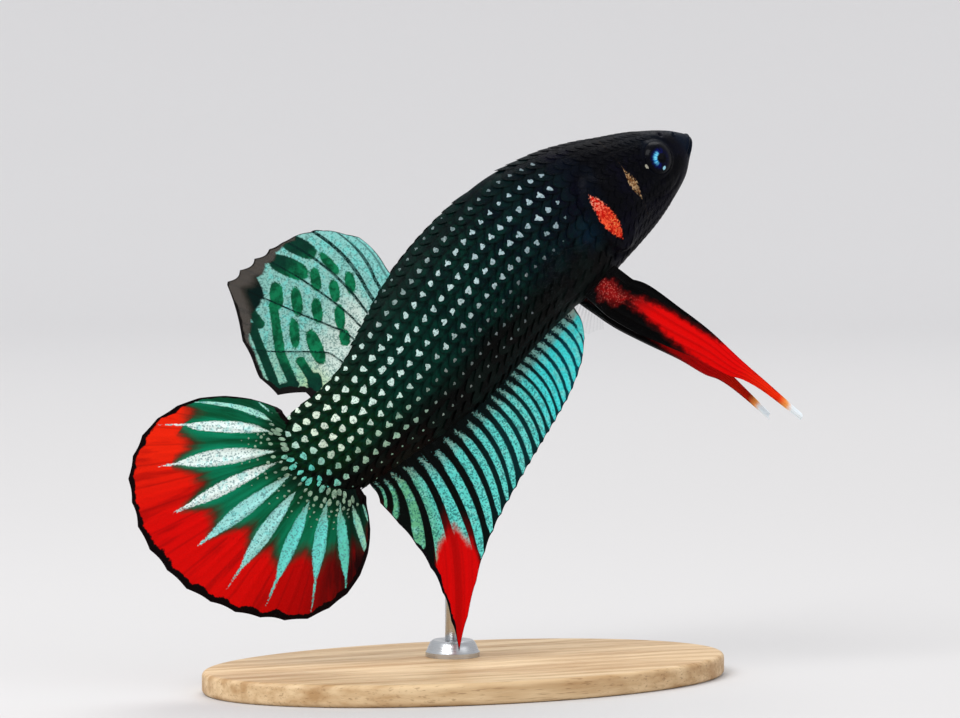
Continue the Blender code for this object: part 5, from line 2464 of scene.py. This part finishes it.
@dataclass(frozen=True)
class Stand:
    """The oval wooden base, the leaning steel rod and its collar. Lengths in millimetres."""

    base_size: tuple[float, float, float] = (50.0, 28.0, 2.0)
    base_edge: float = 0.45
    base_rounding: float = 40.0
    rod_radius: float = 0.7
    rod_edge: float = 0.12
    rod_tip: tuple[float, float, float] = (31.0, 0.8, -1.4)
    rod_lean: tuple[float, float] = (2.2, 5.5)
    foot_gap: float = 0.5
    collar_bore: float = 0.72
    # the collar's profile, radius and height, from its foot out and up to the rod
    collar_profile: Rows = (
        (2.5, 0.0), (2.5, 0.42), (2.38, 0.55), (2.24, 0.95), (2.06, 1.32), (1.82, 1.5), (1.0, 1.5),
    )
    collar_lip: float = 1.38
    collar_steps: int = 96

    def rod_ends(self) -> tuple[Vector, Vector]:
        """Place the rod.

        Returns:
            Its foot over the base and its tip in the trunk, in metres.
        """
        tip = Vector(BODY.world(*(np.array([value]) for value in self.rod_tip))[0])
        foot_up = (self.base_size[2] + self.foot_gap) * MM
        lean_x, lean_y = (lean * MM for lean in self.rod_lean)
        return Vector((tip.x + lean_x, tip.y + lean_y, foot_up)), tip

    def build(self, wood: Material, steel: Material) -> list[Object]:
        """Make the three pieces of the stand.

        Args:
            wood: the base's material.
            steel: the rod's and the collar's material.

        Returns:
            The pieces.
        """
        return [self.build_base(wood), self.build_rod(steel), self.build_collar(steel)]

    def build_base(self, wood: Material) -> Object:
        """Make the oval base with its rounded edges.

        Args:
            wood: its material.

        Returns:
            The base.
        """
        deselect_all()
        bpy.ops.mesh.primitive_cylinder_add(vertices=160, radius=0.5, depth=1.0)
        item = added("stand_oval")
        length, width, height = (size * MM for size in self.base_size)
        grown = Matrix.Diagonal((length, width, height, 1))
        item.data.transform(Matrix.Translation((0, 0, height / 2)) @ grown)
        modify(item, "BEVEL", width=self.base_edge * MM, segments=5, limit_method="ANGLE",
               angle_limit=math.radians(self.base_rounding))
        return finish(item, wood, ("stand_base",), smooth_angle=35)

    def build_rod(self, steel: Material) -> Object:
        """Make the rod from its foot in the collar to its tip in the trunk.

        Args:
            steel: its material.

        Returns:
            The rod.
        """
        foot, tip = self.rod_ends()
        line = tip - foot
        deselect_all()
        bpy.ops.mesh.primitive_cylinder_add(
            vertices=48, radius=self.rod_radius * MM, depth=line.length)
        item = added("stand_pin")
        turn = line.to_track_quat("Z", "Y").to_matrix().to_4x4()
        item.data.transform(Matrix.Translation((foot + tip) / 2) @ turn)
        modify(item, "BEVEL", width=self.rod_edge * MM, segments=3, limit_method="ANGLE")
        return finish(item, steel, ("stand_rod",), smooth_angle=35)

    def build_collar(self, steel: Material) -> Object:
        """Turn the collar's profile round the rod's foot.

        Args:
            steel: its material.

        Returns:
            The collar.
        """
        foot, _ = self.rod_ends()
        deselect_all()
        bpy.ops.mesh.primitive_cylinder_add(radius=1.0, depth=1.0, end_fill_type="NOTHING")
        item = added("stand_ferrule")
        edit(item, lambda: bpy.ops.mesh.delete(type="VERT"))
        bore, count = self.collar_bore, self.collar_steps
        radius, height = np.array([*self.collar_profile, (bore, self.collar_lip), (bore, 0.0)]).T
        turns = np.linspace(0, math.tau, count, endpoint=False)[:, None]
        columns = np.broadcast_arrays(radius * np.cos(turns), radius * np.sin(turns), height)
        rings = np.stack(columns, axis=-1) * MM + (foot.x, foot.y, self.base_size[2] * MM)
        corner = np.arange(rings[..., 0].size).reshape(count, -1)
        ahead, above = np.roll(corner, -1, axis=0), np.roll(corner, -1, axis=1)
        faces = np.stack([corner, ahead, np.roll(ahead, -1, axis=1), above], axis=-1)
        item.data.from_pydata(rings.reshape(-1, 3), [], faces.reshape(-1, 4).tolist())
        face_outwards(item)
        return finish(item, steel, ("stand_collar",), smooth_angle=35)


# ---------------------------------------------------------------- studio


@dataclass(frozen=True)
class Studio:
    """Camera, lights, floor and curved backdrop. Lengths in metres, turns in degrees."""

    # the camera's turn and height round the model
    view: tuple[float, float] = (-22.0, 3.0)
    distance: float = 0.324
    lens: float = 135.0
    aim: tuple[float, float, float] = (-21.545, -1.5485, -18.832)  # from the snout, in mm
    # each light's name, turn and height round the model, distance, size and power in watts
    lights: tuple[tuple[str, float, float, float, float, float], ...] = (
        ("key", -62, 46, 0.55, 0.3, 2.2),
        ("fill", 35, 24, 0.7, 0.4, 0.5),
        ("top", 150, 62, 0.6, 0.35, 1.2),
    )
    sky: tuple[float, ...] = (0.94, 0.96, 1.0, 1.0)
    sky_strength: float = 0.72
    floor_radius: float = 0.75
    wall_radius: float = 1.1
    wall_rings: int = 8
    corners: int = 96

    def build(self) -> None:
        """Make everything round the model."""
        target = Vector((BODY.snout() + np.array(self.aim)) * MM)
        self.make_camera(target)
        self.make_backdrop()
        for light in self.lights:
            self.make_light(target, *light)
        world = bpy.data.worlds.new("studio")
        world.use_nodes = True
        background = world.node_tree.nodes["Background"]
        background.inputs["Color"].default_value = self.sky
        background.inputs["Strength"].default_value = self.sky_strength
        bpy.context.scene.world = world
        bpy.context.scene.view_settings.view_transform = "Standard"

    def aimed(self, item: Object, target: Vector, azimuth: float, elevation: float,
              distance: float) -> None:
        """Set a camera or a light round the model and face it towards the target.

        Args:
            item: the camera or the light.
            target: the place that it faces.
            azimuth, elevation: its place round the target.
            distance: how far it stands from the target.
        """
        turn, rise = math.radians(azimuth), math.radians(elevation)
        back = Vector((math.sin(turn) * math.cos(rise), -math.cos(turn) * math.cos(rise),
                       math.sin(rise)))
        item.location = target + back * distance
        item.rotation_euler = (-back).to_track_quat("-Z", "Y").to_euler()

    def make_camera(self, target: Vector) -> None:
        """Make the camera at its view of the fish's right side.

        Args:
            target: the place that it faces.
        """
        data = bpy.data.cameras.new("camera")
        data.lens, data.sensor_width = self.lens, 36.0
        data.clip_start, data.clip_end = 0.01, 10.0
        camera = link("camera", data)
        self.aimed(camera, target, *self.view, self.distance)
        bpy.context.scene.camera = camera

    def make_light(self, target: Vector, name: str, azimuth: float, elevation: float,
                   distance: float, size: float, power: float) -> None:
        """Make one square soft light.

        Args:
            target: the place that it faces.
            name: its name.
            azimuth, elevation, distance: its place round the target.
            size, power: its width, and its power in watts.
        """
        data = bpy.data.lights.new(name, "AREA")
        data.shape, data.size, data.energy = "SQUARE", size, power
        self.aimed(link(name, data), target, azimuth, elevation, distance)

    def make_backdrop(self) -> None:
        """Make the floor and its wall in one sweep round the model."""
        deselect_all()
        bpy.ops.mesh.primitive_circle_add(
            vertices=self.corners, radius=self.floor_radius, fill_type="TRIFAN")
        item = added("backdrop")
        rise = self.wall_radius - self.floor_radius
        for step in range(1, self.wall_rings + 1):
            turn = math.radians(90 * step / self.wall_rings)
            ring = self.floor_radius + rise * math.sin(turn)
            self.extend(item, ring, rise * (1 - math.cos(turn)))
        item.data.shade_smooth()
        paint = Paint("backdrop", Roughness=0.9, Specular_IOR_Level=0.1)
        along, across, _ = paint.place().parts()
        away = paint.math("SQRT", along * along + across * across).step(0.12, 0.9)
        floor = paint.mix(away, (204, 202, 201), (240, 238, 237))
        item.data.materials.append(paint.dress(Base_Color=floor))

    def extend(self, item: Object, radius: float, height: float) -> None:
        """Extrude the backdrop's border to the next ring.

        Args:
            item: the backdrop.
            radius, height: the next ring's.
        """
        grow_border(item)
        points = points_of(item.data)
        ring = points[-self.corners:]
        size = np.hypot(ring[:, 0], ring[:, 1])
        ring[:, :2] = ring[:, :2] / size[:, None] * radius
        ring[:, 2] = height
        set_points(item.data, points)


def main() -> None:
    """Build the fish, its stand and the studio."""
    logging.basicConfig(level=logging.INFO, format="%(name)s %(message)s")
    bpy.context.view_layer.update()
    glitter, margin, markings = make_glitter(), make_dark_margin(), BodyMarkings().build()
    skin, coat = Skin(), Coat()
    Studio().build()
    skin.build(SkinFinish().material(markings))
    eye_finish = EyeFinish().material()
    for side in Side:
        Eye().build(side, skin, eye_finish)
    coat.build_scales(ScaleFinish().material(markings))
    spot_finish = SpotFinish().material(glitter)
    coat.build_spots(spot_finish)
    DorsalFin().build(SpottedFinish().material(glitter, margin))
    AnalFin().build(StripedFinish().material(glitter, margin))
    tail_fin = CaudalFin()
    tail_fin.build(StreakedFinish().material(glitter, margin))
    tail_fin.build_dots(spot_finish)
    blade, clear = BladeFinish().material(glitter), ClearFinish().material()
    for side in Side:
        label = side.name.lower()
        PelvicFin(name="pelvic_blade_" + label, node="pelvic_fin_" + label, side=side).build(blade)
        PectoralFin(name="pectoral_fan_" + label, node="pectoral_fin_" + label,
                    side=side).build(clear)
    Stand().build(WoodFinish().material(), SteelFinish().material())


if __name__ == "__main__":
    main()
